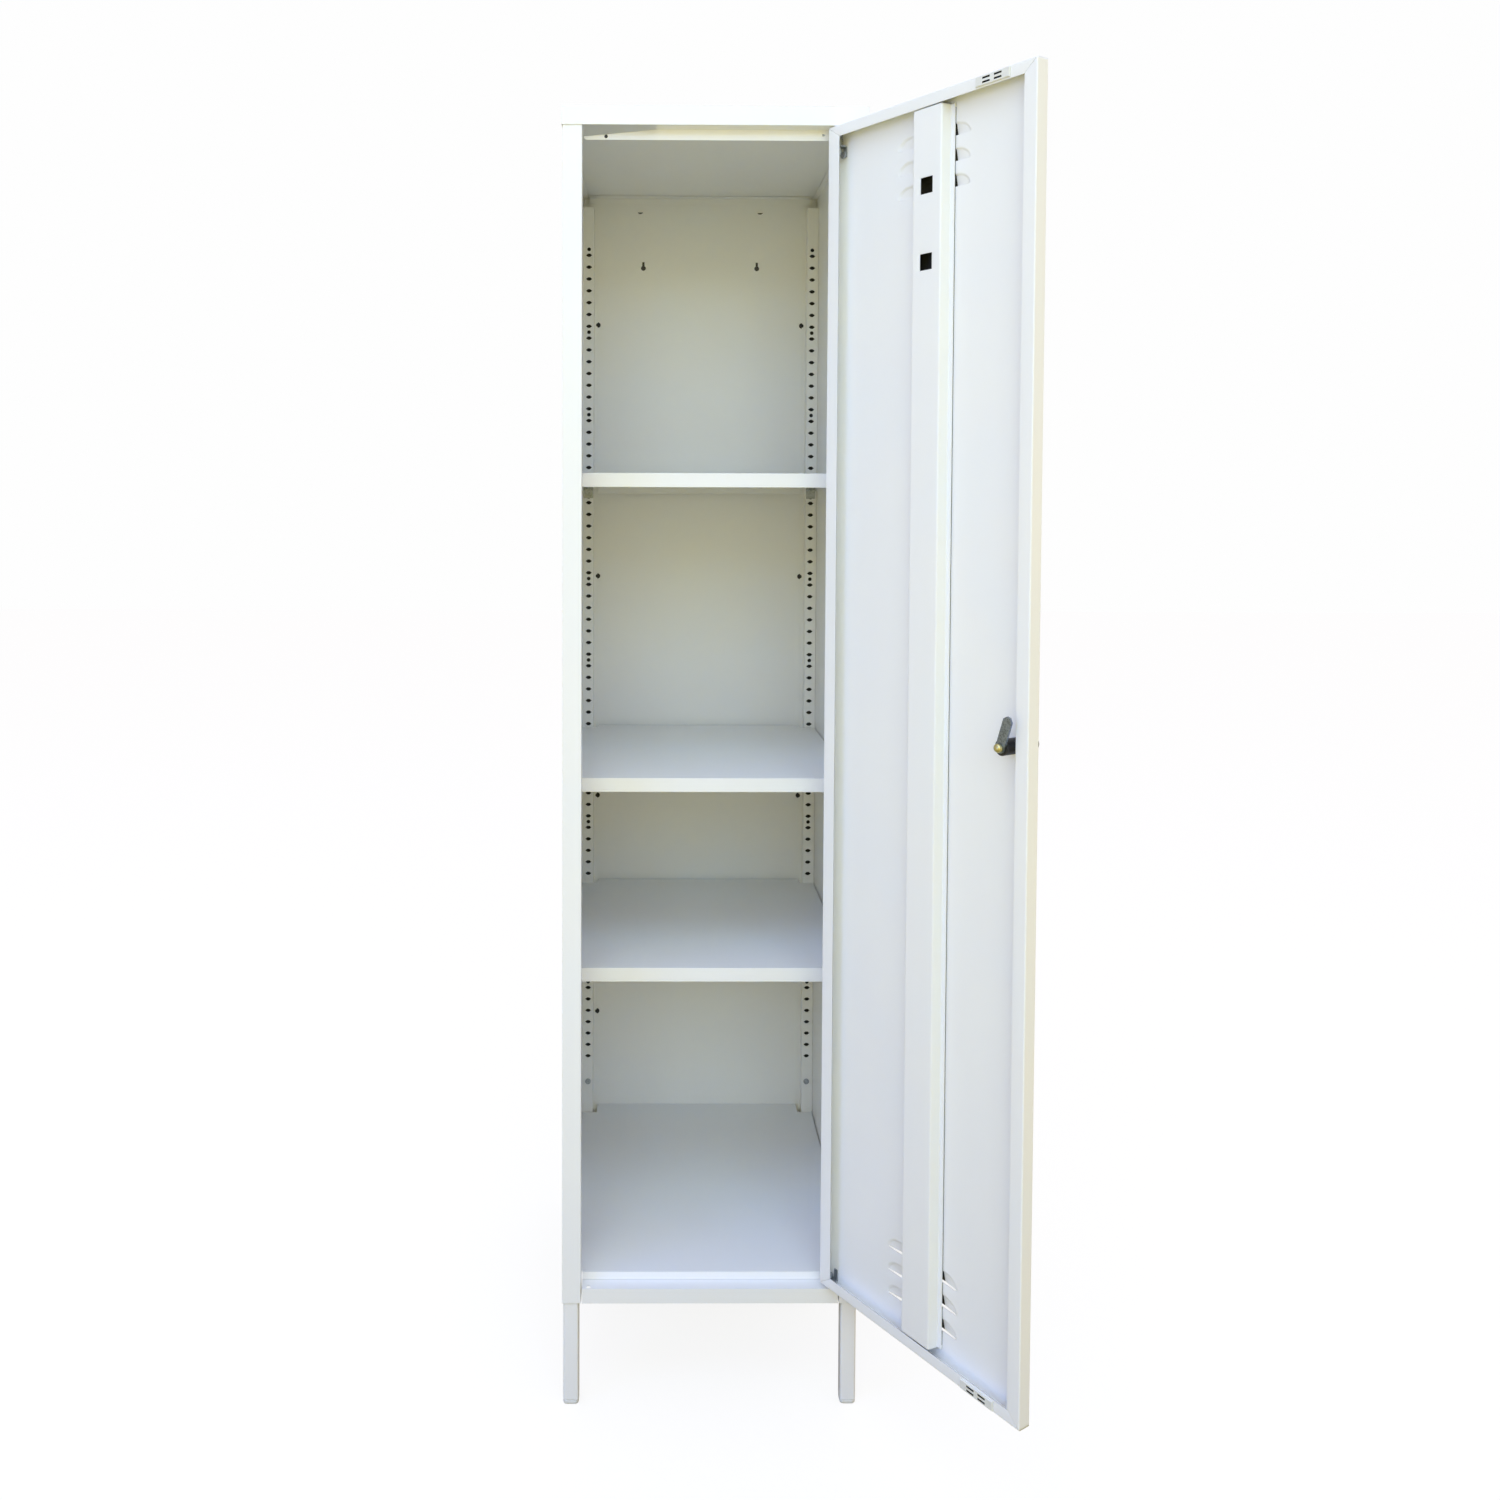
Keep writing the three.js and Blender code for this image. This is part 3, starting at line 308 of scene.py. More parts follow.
# %% [markdown]
# A sheet's edges are never perfectly sharp: shearing and paint leave them round by a few tenths of a
# millimetre, and that line of light is what tells steel from paper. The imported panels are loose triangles,
# so each gets a stack of modifiers: weld the corners, merge the flat triangles, round the edges, and weight
# the normals by area so that big faces stay flat. The uprights stay sharp, because rounding their many
# small slots would close them. The stop rail, a thin strip in deep shade, stays sharp too.


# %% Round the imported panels' edges
def set_smooth(thing, smooth):
    """Shades every face of an object smooth or flat."""
    thing.data.polygons.foreach_set("use_smooth", np.full(len(thing.data.polygons), smooth))


def keep_flat_faces_flat(thing):
    """Weights the normals by area, so that big faces look flat up to their rounded edges."""
    thing.modifiers.new("flat faces stay flat", "WEIGHTED_NORMAL").weight = 100


def soften(thing, width):
    """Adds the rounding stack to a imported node. width is in millimetres."""
    set_smooth(thing, True)
    thing.modifiers.new("weld", "WELD").merge_threshold = 0.00001
    flat = thing.modifiers.new("merge flat faces", "DECIMATE")
    flat.decimate_type = "DISSOLVE"
    flat.angle_limit = math.radians(2)
    bevel = thing.modifiers.new("round edges", "BEVEL")
    bevel.width = width * MM
    bevel.segments = 2
    bevel.limit_method = "ANGLE"
    bevel.angle_limit = math.radians(40)
    keep_flat_faces_flat(thing)


subparts = {part["node"]: part["material_slot"] for part in frame["record"]["subparts"]}
EDGE_ROUNDING = {"foot": 0.8, "leg": 0.4, "clip": 0.3, "handle": 1.2, "rose": 0.6, "catch": 0.35}

for name, thing in frame["nodes"].items():
    thing.data.materials.clear()
    thing.data.materials.append(FINISHES[subparts[name]])
    if name == "top_stop_rail" or ("upright" in name and "screw" not in name):
        set_smooth(thing, False)
        continue
    rounding = next((mm for word, mm in EDGE_ROUNDING.items() if word in name), 0.4)
    soften(thing, rounding)
print("finished nodes:", len(subparts))

# %% [markdown]
# New pieces are surfaces on a grid of points. The grid is computed as whole arrays, left out where there is
# a hole, and given its sheet thickness by Solidify, so that every hole has a real wall.


# %% Surface helpers
def grid_faces(rows, columns, skip=None):
    """Corner numbers of every cell of a grid of points, row by row. skip marks cells that are holes."""
    number = np.arange(rows * columns).reshape(rows, columns)
    cells = np.stack([number[:-1, :-1], number[1:, :-1], number[1:, 1:], number[:-1, 1:]], -1)
    keep = np.ones(cells.shape[:2], bool) if skip is None else ~skip
    return cells[keep]


def make_piece(name, parts, body, slot, replaces=(), thickness=0.0, finish=None):
    """One object from (points, faces) pairs in metres. Points that meet are merged, and the normals are made
    consistent, before Solidify gives a sheet its thickness. finish names a material other than the slot's."""
    points = np.concatenate([p.reshape(-1, 3) for p, _ in parts])
    starts = np.cumsum([0] + [p.reshape(-1, 3).shape[0] for p, _ in parts[:-1]])
    faces = np.concatenate([f + start for (_, f), start in zip(parts, starts)])
    mesh = bpy.data.meshes.new(name)
    mesh.from_pydata(points.tolist(), [], faces.tolist())
    shape = bmesh.new()
    shape.from_mesh(mesh)
    bmesh.ops.remove_doubles(shape, verts=shape.verts, dist=0.000002)
    bmesh.ops.dissolve_degenerate(shape, edges=shape.edges, dist=0.000001)
    bmesh.ops.recalc_face_normals(shape, faces=shape.faces)
    shape.to_mesh(mesh)
    shape.free()
    mesh.materials.append(FINISHES[finish or slot])
    piece = bpy.data.objects.new(name, mesh)
    bpy.context.scene.collection.objects.link(piece)
    if thickness:
        wall = piece.modifiers.new("sheet thickness", "SOLIDIFY")
        wall.thickness = thickness * MM
        wall.offset = -1.0
        wall.use_even_offset = True
    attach(piece, body)
    if replaces:
        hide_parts(*replaces)
    print("%s: %d points, %d faces" % (name, len(mesh.vertices), len(mesh.polygons)))
    return piece


def rounded_path(corners, radius, steps=4):
    """A path with each inner corner replaced by an arc. The arc's centre lies where both straights, moved in by
    the radius, cross, and its points turn evenly from one straight to the next."""
    corners = [np.asarray(c, float) for c in corners]
    path = [corners[0]]
    for before, corner, after in zip(corners, corners[1:], corners[2:]):
        a = (before - corner) / np.linalg.norm(before - corner)
        b = (after - corner) / np.linalg.norm(after - corner)
        half = math.acos(np.clip(a @ b, -1, 1)) / 2
        reach = radius / math.tan(half)
        middle = corner + (a + b) / np.linalg.norm(a + b) * radius / math.sin(half)
        start, end = corner + a * reach - middle, corner + b * reach - middle
        t = np.linspace(0, 1, steps + 1)[:, None]
        swing = math.acos(np.clip(start @ end / radius**2, -1, 1))
        path += list(middle + (np.sin((1 - t) * swing) * start + np.sin(t * swing) * end) / math.sin(swing))
    return np.array(path + [corners[-1]])


# %% [markdown]
# The door is a shallow pan. Its face turns back at all four edges into a wall, and the wall turns in again
# to a rim: 14 mm wide at the top and bottom, 17 mm along the free edge and 20 mm along the hinge side. At
# each corner the two rims are cut to a mitre and all but meet. Six louvres are pressed out of the face: the
# press slits the sheet along each louvre's lower edge and pushes the metal out above the slit, so each one
# is a hood that is deepest at the slit and fades out at its top and its ends. A grid of heights gives the
# face, with fine lines only where the louvres are, and the four walls and rims are one bent section carried
# along each side with its ends cut to the mitre.

# %% Door pan
SHEET = 1.0
BEND = 1.6
DOOR_HALF = DOORWAY_HALF - 2.0
DOOR_LOW, DOOR_HIGH = (z / MM for z in (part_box("door_panel")[0].z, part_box("door_panel")[1].z))
DOOR_DEPTH = 17.3
RIM, FREE_RIM, HINGE_RIM = 14.0, 17.0, 20.0
MITRE_GAP = 0.25
LOUVRE = {"half_length": 58.0, "height": 15.0, "proud": 4.3, "end": 22.0, "pitch": 28.7}
LOUVRE_TOPS = [DOOR_HIGH - 36.0 - LOUVRE["pitch"] * i for i in range(3)]
LOUVRE_TOPS += [DOOR_LOW + 52.0 + LOUVRE["pitch"] * i for i in range(3)]
STIFFENER_X = DOOR_HALF - 169.0
# Half the width, from the stiffener's middle, of the painted shade on the face behind it.
PAINTED_SHADE_HALF = 29.5
FACE_FINE, FACE_COARSE = 1.0, 12.0


def spread(stops, fine, coarse):
    """Grid lines over a span: close together inside each (start, end) of stops, far apart between them."""
    lines = []
    for start, end in stops:
        lines.append(np.linspace(start, end, max(2, int(round((end - start) / fine)) + 1)))
    gaps = sorted(np.concatenate(lines))
    for a, b in zip(gaps, gaps[1:]):
        if b - a > coarse:
            lines.append(np.linspace(a, b, int(math.ceil((b - a) / coarse)) + 1)[1:-1])
    return np.unique(np.round(np.concatenate(lines), 4))


def smooth_step(t):
    """Nothing at 0, all at 1, and level at both ends: 3 t squared less 2 t cubed."""
    t = np.clip(t, 0, 1)
    return t * t * (3 - 2 * t)


def louvre_height(x, z):
    """How far the face stands out at (x, z). The outline of a louvre is flat on top and a quarter ellipse at
    each end, down to the slit. With d the distance in from it, the height is a crease of 30 parts in 100, a
    smooth step of d over 2.5 mm, and a slope of 70 parts that grows evenly to the slit. Below the slit it is
    nothing."""
    height = np.zeros_like(x)
    for top in LOUVRE_TOPS:
        across = np.maximum(np.abs(x) - (LOUVRE["half_length"] - LOUVRE["end"]), 0) / LOUVRE["end"]
        up = np.clip((z - (top - LOUVRE["height"])) / LOUVRE["height"], 0, None)
        inside = (1 - np.hypot(across, up)) * LOUVRE["height"]
        rise = 0.3 * smooth_step(inside / 2.5) + 0.7 * np.clip(inside / LOUVRE["height"], 0, 1)
        height = np.maximum(height, np.where(z > top - LOUVRE["height"], LOUVRE["proud"] * rise, 0))
    return height


def pan_face():
    """The face: a grid with Y minus the louvre height, and the slits left out of it."""
    ends = LOUVRE["half_length"]
    edge = DOOR_HALF - BEND
    columns = [(-edge, -edge + 1), (-ends - 1, -ends + 23), (ends - 23, ends + 1), (edge - 1, edge)]
    x = spread(columns, FACE_FINE, FACE_COARSE)
    rows = [(DOOR_LOW + BEND, DOOR_LOW + BEND + 1), (DOOR_HIGH - BEND - 1, DOOR_HIGH - BEND)]
    for top in LOUVRE_TOPS:
        rows.append((top - LOUVRE["height"] - 0.3, top - LOUVRE["height"] + 0.3))
        rows.append((top - LOUVRE["height"] + 0.9, top + 0.5))
    z = spread(rows, 0.9, 30.0)
    grid_x, grid_z = np.meshgrid(x, z, indexing="ij")
    height = louvre_height(grid_x, grid_z)
    step = np.abs(height[:, 1:] - height[:, :-1])
    slit = np.maximum(step[1:], step[:-1]) > 1.2
    points = np.stack([grid_x, -height, grid_z], -1)
    return x, z, in_door(points), grid_faces(len(x), len(z), slit)


def pan_side(lines, section, side, slopes):
    """One wall and rim. Each point of the section gives an inset and a depth, and each line of the face runs
    along it until the mitre stops it, at the inset times the mitre's slope at that end."""
    level = side in ("top", "bottom")
    low_end, high_end = (-DOOR_HALF, DOOR_HALF) if level else (DOOR_LOW, DOOR_HIGH)
    inset, depth = section.T
    on_rim = depth > DOOR_DEPTH - 0.01
    low_stop, high_stop = (np.where(on_rim, inset * slope + MITRE_GAP, inset) for slope in slopes)
    start, stop = low_end + low_stop, high_end - high_stop
    along = np.clip(lines[None, :], start[:, None], stop[:, None])
    along[:, 0], along[:, -1] = start, stop
    edge = {"top": DOOR_HIGH - inset, "bottom": DOOR_LOW + inset, "hinge": DOOR_HALF - inset}
    across = edge.get(side, -DOOR_HALF + inset)
    across, depth = (np.broadcast_to(values[:, None], along.shape) for values in (across, depth))
    points = np.stack([along, depth, across] if level else [across, depth, along], -1)
    return in_door(points), grid_faces(*points.shape[:2])


def face_middles(piece):
    """The middle of each face of a door piece, as rows of x, y and z in closed-door millimetres."""
    middles = np.zeros(len(piece.data.polygons) * 3)
    piece.data.polygons.foreach_get("center", middles)
    return from_door(middles.reshape(-1, 3)).T


face_x, face_z, face_points, face_cells = pan_face()
pan_parts = [(face_points, face_cells)]
pan_sides = {
    "top": (face_x, RIM, (FREE_RIM / RIM, HINGE_RIM / RIM)),
    "bottom": (face_x, RIM, (FREE_RIM / RIM, HINGE_RIM / RIM)),
    "free": (face_z, FREE_RIM, (RIM / FREE_RIM, RIM / FREE_RIM)),
    "hinge": (face_z, HINGE_RIM, (RIM / HINGE_RIM, RIM / HINGE_RIM)),
}
for side, (lines, rim, slopes) in pan_sides.items():
    section = rounded_path([(BEND, 0), (0, 0), (0, DOOR_DEPTH), (rim, DOOR_DEPTH)], BEND - 0.001)
    pan_parts.append(pan_side(lines, section, side, slopes))
door_pan = make_piece("door_pan", pan_parts, "door", "white_powder_coat", ["door_panel"], thickness=SHEET)

# The face behind the stiffener gets painted shade. A face marked 1 there has its inner side, two slots on, in
# the dark bare-steel finish, which stands in for the shade under the stiffener's hat and feet.
for extra in ("white_powder_coat", "white_powder_coat", "bare_steel_and_painted_shade"):
    door_pan.data.materials.append(FINISHES[extra])
x, y, z = face_middles(door_pan)
painted_shade_faces = (np.abs(x - STIFFENER_X) < PAINTED_SHADE_HALF) & (y < 1.0) & (z > DOOR_LOW + 16) & (z < DOOR_HIGH - 16)
door_pan.data.polygons.foreach_set("material_index", painted_shade_faces.astype(np.int32))
door_pan.modifiers["sheet thickness"].material_offset = 2
set_smooth(door_pan, True)
keep_flat_faces_flat(door_pan)

# %% [markdown]
# A hat-shaped stiffener runs the full height behind the face and keeps the thin door from drumming. Its two
# feet are spot-welded to the face, and two square windows near the top take an accessory. The hat is one
# bent section carried up the door, and the windows are cells left out of its crown. A spot weld leaves a
# shallow round dimple where the electrode pressed, one every hand's breadth or so along each foot.

# %% Stiffener
CROWN_HALF, HAT_SLOPE, HAT_FOOT, HAT_DEPTH = 21.5, 2.0, 7.0, 15.3
WINDOW_HALF = 9.5
WINDOWS = (DOOR_LOW + 1368.0, DOOR_LOW + 1281.0)
WELD_PITCH, WELD_RADIUS, WELD_DEPTH = 92.0, 2.1, 0.3


def hat_section():
    """From one foot over the crown to the other, with a bend at each corner and lines at the windows' edges."""
    outer = CROWN_HALF + HAT_SLOPE
    corners = [(-outer - HAT_FOOT, 2.3), (-outer, 2.3), (-CROWN_HALF, HAT_DEPTH), (0, HAT_DEPTH)]
    half = rounded_path(corners, 1.5)
    foot = np.stack([np.linspace(-outer - HAT_FOOT, half[1, 0], 12)[:-1], np.full(11, 2.3)], -1)
    half = np.concatenate([foot, half[1:-1], [(-WINDOW_HALF, HAT_DEPTH)]])
    return np.concatenate([half, (half * (-1, 1))[::-1]])


def stiffener_parts():
    section = hat_section()
    low, high = DOOR_LOW + 15.0, DOOR_HIGH - 15.0
    welds = np.arange(low + 18, high - 10, WELD_PITCH)
    rows = [(low, low + 1), (high - 1, high)]
    rows += [(z - WINDOW_HALF, z + WINDOW_HALF) for z in WINDOWS]
    rows += [(z - WELD_RADIUS, z + WELD_RADIUS) for z in welds]
    z = spread(rows, 0.8, 25.0)
    x, y = (np.broadcast_to(section[:, i, None], (len(section), len(z))) for i in (0, 1))
    rows_z = np.broadcast_to(z, x.shape)
    foot_middle = CROWN_HALF + HAT_SLOPE + HAT_FOOT / 2 + 0.6
    nearest = np.abs(rows_z[..., None] - welds).min(-1)
    dimple = np.clip(1 - (np.hypot(np.abs(x) - foot_middle, nearest) / WELD_RADIUS) ** 2, 0, 1)
    points = np.stack([x + STIFFENER_X, y - WELD_DEPTH * dimple, rows_z], -1)
    middle = (z[1:] + z[:-1]) / 2
    in_window = np.any([np.abs(middle - w) < WINDOW_HALF for w in WINDOWS], axis=0)
    crown = np.abs((section[1:, 0] + section[:-1, 0]) / 2) < WINDOW_HALF - 0.01
    return in_door(points), grid_faces(len(section), len(z), crown[:, None] & in_window[None, :])


stiffener = make_piece(
    "door_stiffener_hat", [stiffener_parts()], "door", "white_powder_coat", ["door_stiffener"], thickness=SHEET
)
set_smooth(stiffener, True)
keep_flat_faces_flat(stiffener)

# %% [markdown]
# The front uprights carry the same slots as the rear ones, from top to bottom, so that a shelf can hang at
# any height. Each is an angle, folded from a strip whose slots were punched first, in one press stroke per
# slot. The slotted face is a grid of points with rows at every slot, and the cells inside a slot's pointed
# outline are left out. Behind each rear upright's slotted face stands a thin dark strip of painted shade,
# for the shade inside the channel, and that is why the slots look nearly black.

# %% Uprights
SLOT_PITCH, SLOT_COUNT, SLOT_INSET = 18.85, 70, 7.6
SLOT_HALF_WIDTH, SLOT_HALF_HEIGHT = 5.0, 2.7
REAR_FACE_Y = box_mm("left_rear_upright")[0][1]
FRONT_FACE_Y = box_mm("left_front_upright")[1][1]
REAR_INNER = -box_mm("left_rear_upright")[1][0] + 5.4
TOP_SLOT = 1556.6
SHADE_STRIP_GAP = 5.5


def slot_half_width(z):
    """Half the width of a slot at a height z from its middle: full at the middle, a third at the edge."""
    return SLOT_HALF_WIDTH * (1 - 2 / 3 * np.clip(np.abs(z) / SLOT_HALF_HEIGHT, 0, 1))


def slotted_angle(side):
    """A front upright: grid columns run from the post, round the bend and across to the side panel. Around
    each slot the columns are pulled to its pointed outline, so the hole's edge is exact."""
    low, high = box_mm(side + "_front_upright")
    sign = -1 if side == "left" else 1
    inner, outer = sorted((abs(low[0]), abs(high[0])))
    middle = REAR_INNER + SLOT_INSET
    slots = TOP_SLOT - SLOT_PITCH * np.arange(SLOT_COUNT)
    steps = np.array([-1.0, -0.5, 0.0, 0.5, 1.0]) * SLOT_HALF_HEIGHT
    z = np.unique(np.round(np.concatenate([[low[2], high[2]], (slots[:, None] + steps).ravel()]), 3))
    nearest = np.abs(z[:, None] - slots).min(-1)
    in_slot = nearest < SLOT_HALF_HEIGHT + 0.01
    half = np.where(in_slot, slot_half_width(nearest), SLOT_HALF_WIDTH / 3)
    columns = [np.full_like(z, inner), np.full_like(z, inner), np.full_like(z, inner + 1.0)]
    columns += [middle - half, middle + half, np.full_like(z, outer)]
    depth = [low[1], high[1] - 1.0, high[1], high[1], high[1], high[1]]
    x = np.stack(columns)
    y = np.broadcast_to(np.array(depth)[:, None], x.shape)
    skip = np.zeros((5, len(z) - 1), bool)
    skip[3] = in_slot[1:] & in_slot[:-1] & (np.diff(z) < SLOT_HALF_HEIGHT)
    return in_locker(np.stack([sign * x, y, np.broadcast_to(z, x.shape)], -1)), grid_faces(6, len(z), skip)


for side in ("left", "right"):
    make_piece(side + "_front_slotted_angle", [slotted_angle(side)], "cabinet", "white_powder_coat",
               [side + "_front_upright"], thickness=1.0)


def painted_shade_strip(sign, y):
    """A flat strip of painted shade behind one slotted face, from the lowest slot to the highest."""
    x = sign * np.linspace(REAR_INNER + 1.6, REAR_INNER + 15.0, 3)
    z = np.linspace(TOP_SLOT - SLOT_PITCH * SLOT_COUNT, TOP_SLOT + 14, 40)
    grid_x, grid_z = np.meshgrid(x, z, indexing="ij")
    return in_locker(np.stack([grid_x, np.full_like(grid_x, y), grid_z], -1)), grid_faces(3, 40)


for name, sign in (("left", -1), ("right", 1)):
    # Each strip is painted shade: a dark sheet where the channel behind the slots is only in shade.
    shade_strip_points = painted_shade_strip(sign, REAR_FACE_Y + SHADE_STRIP_GAP)
    make_piece(name + "_rear_channel_painted_shade", [shade_strip_points], "cabinet", "dark_steel", thickness=0.5, finish="bare_steel_and_painted_shade")

# %% [markdown]
# Small screws hold the back panel to the rear uprights, and one more goes through each upright near the
# bottom. Each is a low domed head of bare dark steel on a thin washer. The stop rail has a smaller rivet
# near its left end. A profile of (radius, height) points is turned about the screw's axis.


# %% Screws
def turned(profile, place, steps=20):
    """Turns a profile of (radius, height) rows about the Y axis at place. Height is towards the front."""
    angle = np.linspace(0, 2 * np.pi, steps, endpoint=False)
    radius, rise = np.asarray(profile, float).T
    x = place[0] + radius[:, None] * np.cos(angle)
    z = place[2] + radius[:, None] * np.sin(angle)
    y = np.broadcast_to(place[1] - rise[:, None], x.shape)
    number = np.arange(x.size).reshape(x.shape)
    nearer = np.roll(number, -1, axis=1)
    cells = np.stack([number[:-1], number[1:], nearer[1:], nearer[:-1]], -1).reshape(-1, 4)
    return in_locker(np.stack([x, y, z], -1)), cells


HEAD = [(3.4, 0.0), (3.4, 0.5), (2.9, 1.3), (1.9, 1.9), (0.9, 2.1), (0.02, 2.15)]
WASHER = [(4.3, 0.25), (4.3, 0.45), (3.3, 0.5)]
RIVET = [(2.2, 0.0), (2.2, 0.4), (1.4, 0.9), (0.02, 1.1)]
SCREW_X, SCREW_ROWS, LOWEST_LEFT_SCREW = 165.5, (1449, 1041, 680), 320
RIVET_PLACE = (-136, 1617)

back_face = box_mm("back_panel")[0][1]
rail_face = box_mm("top_stop_rail")[0][1]
screw_places = [(s * SCREW_X, z) for z in SCREW_ROWS for s in (-1, 1)] + [(-SCREW_X, LOWEST_LEFT_SCREW)]
fixings = {
    "back_screw_heads": [turned(HEAD, (x, back_face - 0.3, z)) for x, z in screw_places],
    "back_screw_rings": [turned(WASHER, (x, back_face, z)) for x, z in screw_places],
    "stop_rail_rivets": [turned(RIVET, (RIVET_PLACE[0], rail_face - 0.2, RIVET_PLACE[1]))],
}
for name, parts in fixings.items():
    make_piece(name, parts, "cabinet", "dark_steel", finish="bare_steel_and_painted_shade")

# %% [markdown]
# Two magnetic catches sit in the rim near the free edge, one above and one below. Each is a white moulding
# with softly rounded edges and four narrow slots, whose floors are painted dark as painted shade. The
# moulding is a height map: its rise above the rim follows a quarter circle in from the outline, and drops
# straight down in a slot.

# %% Catches
CATCH_X, CATCH_HALF = 60.0 - DOOR_HALF, (24.0, 5.5)
CATCH_PROUD, CATCH_EDGE = 2.4, 0.9
CATCH_SLOT_HALF, CATCH_SLOT_MIDDLE, CATCH_SLOT_FLOOR = (5.25, 1.0), (8.25, 2.3), 0.35


def catch_lines(half, slot_middle, slot_half, coarse):
    """Grid lines across a catch: fine ones in its rounded outer millimetre, and a pair at each slot's edge."""
    edges = [side * slot_middle + end * slot_half for side in (-1, 1) for end in (-1, 1)]
    stops = [(-half, 1 - half), (half - 1, half)] + [(edge - 0.06, edge + 0.06) for edge in edges]
    return spread(stops, 0.12, coarse)


def catch_part(middle_z):
    """The moulding as a height map over (x, z)."""
    x = catch_lines(CATCH_HALF[0], CATCH_SLOT_MIDDLE[0], CATCH_SLOT_HALF[0], 2.5)
    z = catch_lines(CATCH_HALF[1], CATCH_SLOT_MIDDLE[1], CATCH_SLOT_HALF[1], 0.8)
    grid_x, grid_z = np.meshgrid(x, z, indexing="ij")
    inside = np.minimum(CATCH_HALF[0] - np.abs(grid_x), CATCH_HALF[1] - np.abs(grid_z))
    rise = CATCH_PROUD * np.sqrt(1 - (1 - np.clip(inside / CATCH_EDGE, 0, 1)) ** 2)
    in_x = np.abs(np.abs(grid_x) - CATCH_SLOT_MIDDLE[0]) < CATCH_SLOT_HALF[0]
    in_z = np.abs(np.abs(grid_z) - CATCH_SLOT_MIDDLE[1]) < CATCH_SLOT_HALF[1]
    rise = np.where(in_x & in_z, CATCH_SLOT_FLOOR, rise)
    points = np.stack([grid_x + CATCH_X, DOOR_DEPTH + 0.05 + rise, grid_z + middle_z], -1)
    return in_door(points), grid_faces(len(x), len(z))


for name, middle_z in (("top_catch", DOOR_HIGH - RIM / 2), ("bottom_catch", DOOR_LOW + RIM / 2)):
    catch = make_piece(name + "_moulding", [catch_part(middle_z)], "door", "white_plastic", [name])
    # The slot floors get the dark finish as painted shade for the deep, narrow slots.
    catch.data.materials.append(FINISHES["bare_steel_and_painted_shade"])
    x, y, z = face_middles(catch)
    off_x = np.abs(np.abs(x - CATCH_X) - CATCH_SLOT_MIDDLE[0])
    off_z = np.abs(np.abs(z - middle_z) - CATCH_SLOT_MIDDLE[1])
    painted_shade_slots = (off_x < CATCH_SLOT_HALF[0] + 0.05) & (off_z < CATCH_SLOT_HALF[1] + 0.05)
    catch.data.polygons.foreach_set("material_index", painted_shade_slots.astype(np.int32))

# %% [markdown]
# The compartments are painted by light alone. Near a shelf's underside a wall sees mostly the ground and
# the horizon, and turns a warm olive, and near the shelf below it sees the sky and turns blue. So the world
# in front of the locker is a stack of bands: warm below, warmest and brightest at the horizon, dim above it
# and bright overhead. Each band is a height, from 0 at straight down to 1 at straight up, and a linear
# colour. The world behind the locker is an even grey. What the camera sees of it is plain white.

# %% World
WORLD_BANDS = (
    (0.38, (0.8, 0.69, 0.22)),
    (0.52, (1.16, 0.82, 0.4)),
    (0.66, (0.17, 0.17, 0.22)),
    (0.88, (1.05, 0.95, 1.05)),
)

world = bpy.data.worlds.new("soft studio")
bpy.context.scene.world = world
world.use_nodes = True
tree = world.node_tree
tree.nodes.clear()
place = add_node(tree, "ShaderNodeTexCoord")
split = add_node(tree, "ShaderNodeSeparateXYZ", links={"Vector": place.outputs["Generated"]})
height = add_node(
    tree, "ShaderNodeMapRange", {"From Min": -1.0, "From Max": 1.0}, {"Value": split.outputs["Z"]}
)
gradient = add_node(tree, "ShaderNodeValToRGB", links={"Fac": height.outputs["Result"]})
ramp = gradient.color_ramp.elements
while len(ramp) < len(WORLD_BANDS):
    ramp.new(0.5 + 0.1 * len(ramp))
for element, (position, colour) in zip(ramp, WORLD_BANDS):
    element.position = position
    element.color = (*colour, 1.0)
behind = add_node(
    tree, "ShaderNodeMapRange", {"From Min": -0.2, "From Max": 0.3}, {"Value": split.outputs["Y"]}
)
soft_light = add_node(tree, "ShaderNodeBackground", {"Strength": 1.0}, {"Color": gradient.outputs["Color"]})
even_light = add_node(tree, "ShaderNodeBackground", {"Color": (0.72, 0.73, 0.74, 1.0)})
all_round = add_node(
    tree, "ShaderNodeMixShader",
    links={"Fac": behind.outputs["Result"], 1: soft_light.outputs[0], 2: even_light.outputs[0]},
)
plain = add_node(tree, "ShaderNodeBackground", {"Color": linear("#FEFEFE"), "Strength": 1.0})
rays = add_node(tree, "ShaderNodeLightPath")
seen = add_node(
    tree, "ShaderNodeMixShader",
    links={"Fac": rays.outputs["Is Camera Ray"], 1: all_round.outputs[0], 2: plain.outputs[0]},
)
add_node(tree, "ShaderNodeOutputWorld", links={"Surface": seen.outputs[0]})

# %% [markdown]
# The floor is one big sheet of pale paper. The camera sees it nearly white, with the faintest shadow at the
# feet. To the locker it is the dim, warm ground under a window: darkest close by, and brighter from half a
# metre out.

# %% Floor
FLOOR_HALF = 12.0


def stage_quad(name, corners, material):
    """One flat four-cornered stage object, which isn't part of the locker."""
    mesh = bpy.data.meshes.new(name)
    mesh.from_pydata(corners, [], [(0, 1, 2, 3)])
    mesh.materials.append(material)
    quad = bpy.data.objects.new(name, mesh)
    bpy.context.scene.collection.objects.link(quad)
    return quad


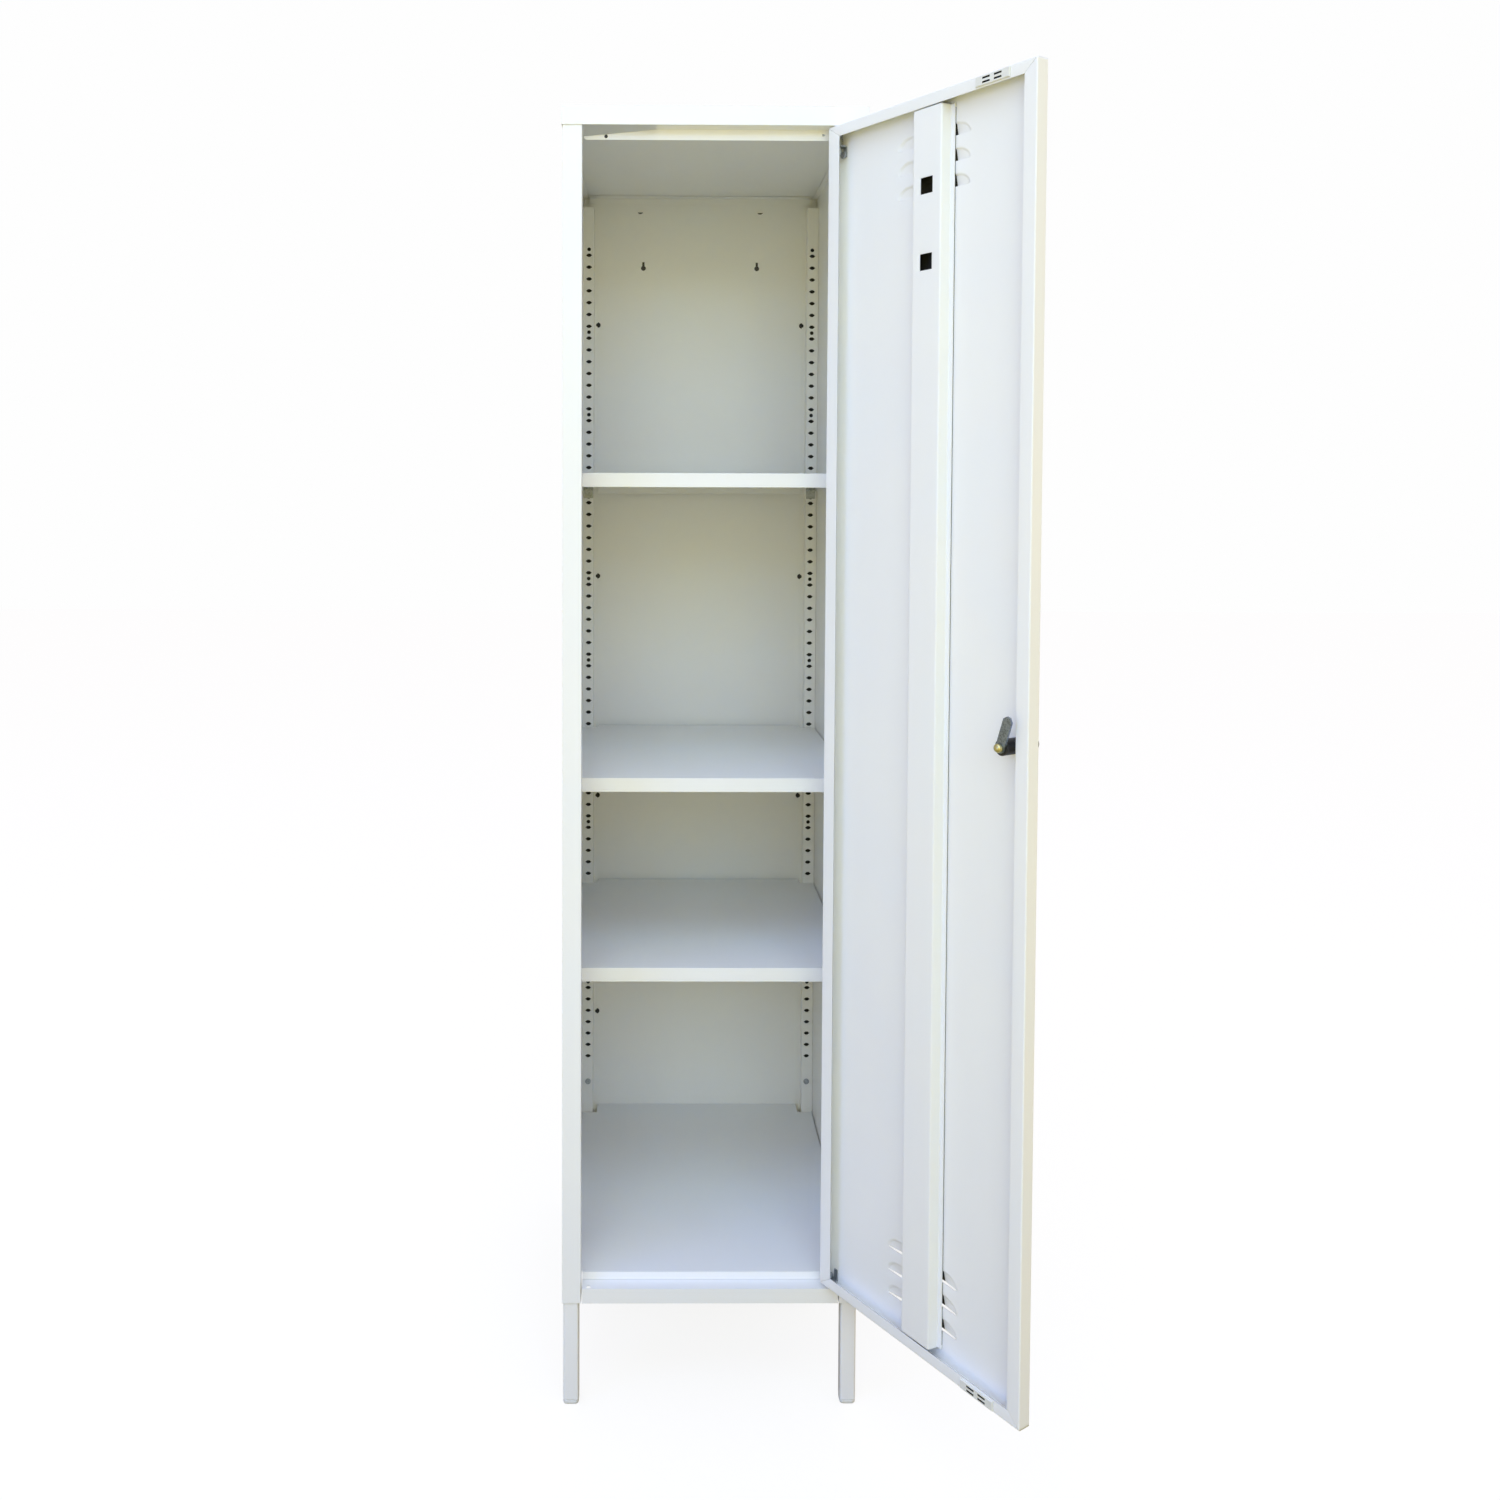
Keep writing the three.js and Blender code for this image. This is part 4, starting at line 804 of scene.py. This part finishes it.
floor_paint, tree = blank_material("pale_studio_floor")
rays = add_node(tree, "ShaderNodeLightPath")
pale = add_node(tree, "ShaderNodeBsdfDiffuse", {"Color": linear("#F6F4F0")})
white = add_node(tree, "ShaderNodeEmission", {"Color": linear("#FFFFFF"), "Strength": 1.06})
seen_floor = add_node(tree, "ShaderNodeMixShader", {"Fac": 0.8}, {1: pale.outputs[0], 2: white.outputs[0]})
floor_place = add_node(tree, "ShaderNodeTexCoord")
reach = add_node(tree, "ShaderNodeVectorMath", links={0: floor_place.outputs["Object"]}, operation="LENGTH")
spread_out = add_node(
    tree, "ShaderNodeMapRange", {"From Min": 0.4, "From Max": 2.6}, {"Value": reach.outputs["Value"]}
)
ground_colour = add_node(tree, "ShaderNodeValToRGB", links={"Fac": spread_out.outputs["Result"]})
ground_colour.color_ramp.elements[0].color = (0.36, 0.3, 0.12, 1.0)
ground_colour.color_ramp.elements[1].color = (0.9, 0.76, 0.26, 1.0)
warm_ground = add_node(tree, "ShaderNodeBsdfDiffuse", links={"Color": ground_colour.outputs["Color"]})
mixed = add_node(
    tree, "ShaderNodeMixShader",
    links={"Fac": rays.outputs["Is Camera Ray"], 1: warm_ground.outputs[0], 2: seen_floor.outputs[0]},
)
add_node(tree, "ShaderNodeOutputMaterial", links={"Surface": mixed.outputs[0]})
floor_corners = [(x * FLOOR_HALF, y * FLOOR_HALF, 0) for x, y in ((-1, -1), (1, -1), (1, 1), (-1, 1))]
stage_quad("studio_floor", floor_corners, floor_paint)

# %% [markdown]
# A dark card stands just behind the back panel, where a wall would be, so that its holes look dark. Its
# colour is painted shade: a faint glow with the dark of a wall in shade close behind the locker. It is
# seen only from the front and throws no light or shadow.

# %% Wall card
CARD_HALF, CARD_LOW, CARD_HIGH, CARD_GAP = 150, 300, 1645, 6
wall_shade_card_paint, tree = blank_material("painted_shade_wall_card")
facing = add_node(tree, "ShaderNodeNewGeometry")
# The card's dark glow is painted shade.
dark = add_node(tree, "ShaderNodeEmission", {"Color": linear("#3A382E"), "Strength": 1.0})
clear = add_node(tree, "ShaderNodeBsdfTransparent")
one_sided = add_node(
    tree, "ShaderNodeMixShader",
    links={"Fac": facing.outputs["Backfacing"], 1: dark.outputs[0], 2: clear.outputs[0]},
)
add_node(tree, "ShaderNodeOutputMaterial", links={"Surface": one_sided.outputs[0]})
card_y = box_mm("back_panel")[1][1] + CARD_GAP
card_corners = [(-CARD_HALF, card_y, CARD_LOW), (CARD_HALF, card_y, CARD_LOW),
                (CARD_HALF, card_y, CARD_HIGH), (-CARD_HALF, card_y, CARD_HIGH)]
painted_shade_card = stage_quad("painted_shade_card", in_locker(card_corners).tolist(), wall_shade_card_paint)
for ray in ("diffuse", "glossy", "transmission", "volume_scatter", "shadow"):
    setattr(painted_shade_card, "visible_" + ray, False)

# %% [markdown]
# Five soft windows add to the world: two in front, one on each side and one overhead. They are big and far
# away, so that the light falls off little from the locker's top to its feet.

# %% Lights
def area_light(name, place, target, size, colour):
    """A camera-invisible rectangle of light. colour is its power in watts in red, green and blue."""
    light = bpy.data.objects.new(name, bpy.data.lights.new(name, "AREA"))
    light.data.shape = "RECTANGLE"
    light.data.size, light.data.size_y = size
    light.data.energy = max(colour)
    light.data.color = [channel / max(colour) for channel in colour]
    light.location = place
    light.rotation_euler = (Vector(target) - Vector(place)).to_track_quat("-Z", "Y").to_euler()
    light.visible_camera = False
    bpy.context.scene.collection.objects.link(light)


AREA_LIGHTS = {
    "low_front_window": ((-0.4, -6.3, 1.95), (0.0, 0.1, 0.9), (5.4, 2.4), (36, 41, 17)),
    "high_front_window": ((-0.4, -6.3, 3.9), (0.0, 0.1, 0.9), (5.4, 2.4), (60, 85, 122)),
    "left_window": ((-3.4, -2.6, 1.7), (0.1, 0.0, 0.9), (2.0, 2.4), (6, 19, 57)),
    "right_window": ((3.0, -3.0, 1.8), (0.0, 0.1, 0.9), (1.8, 2.4), (1, 3, 12)),
    "skylight": ((-0.2, -2.3, 4.1), (0.0, 0.0, 0.9), (3.0, 1.4), (13, 23, 31)),
}
for name, (place, target, size, colour) in AREA_LIGHTS.items():
    area_light(name, place, target, size, colour)
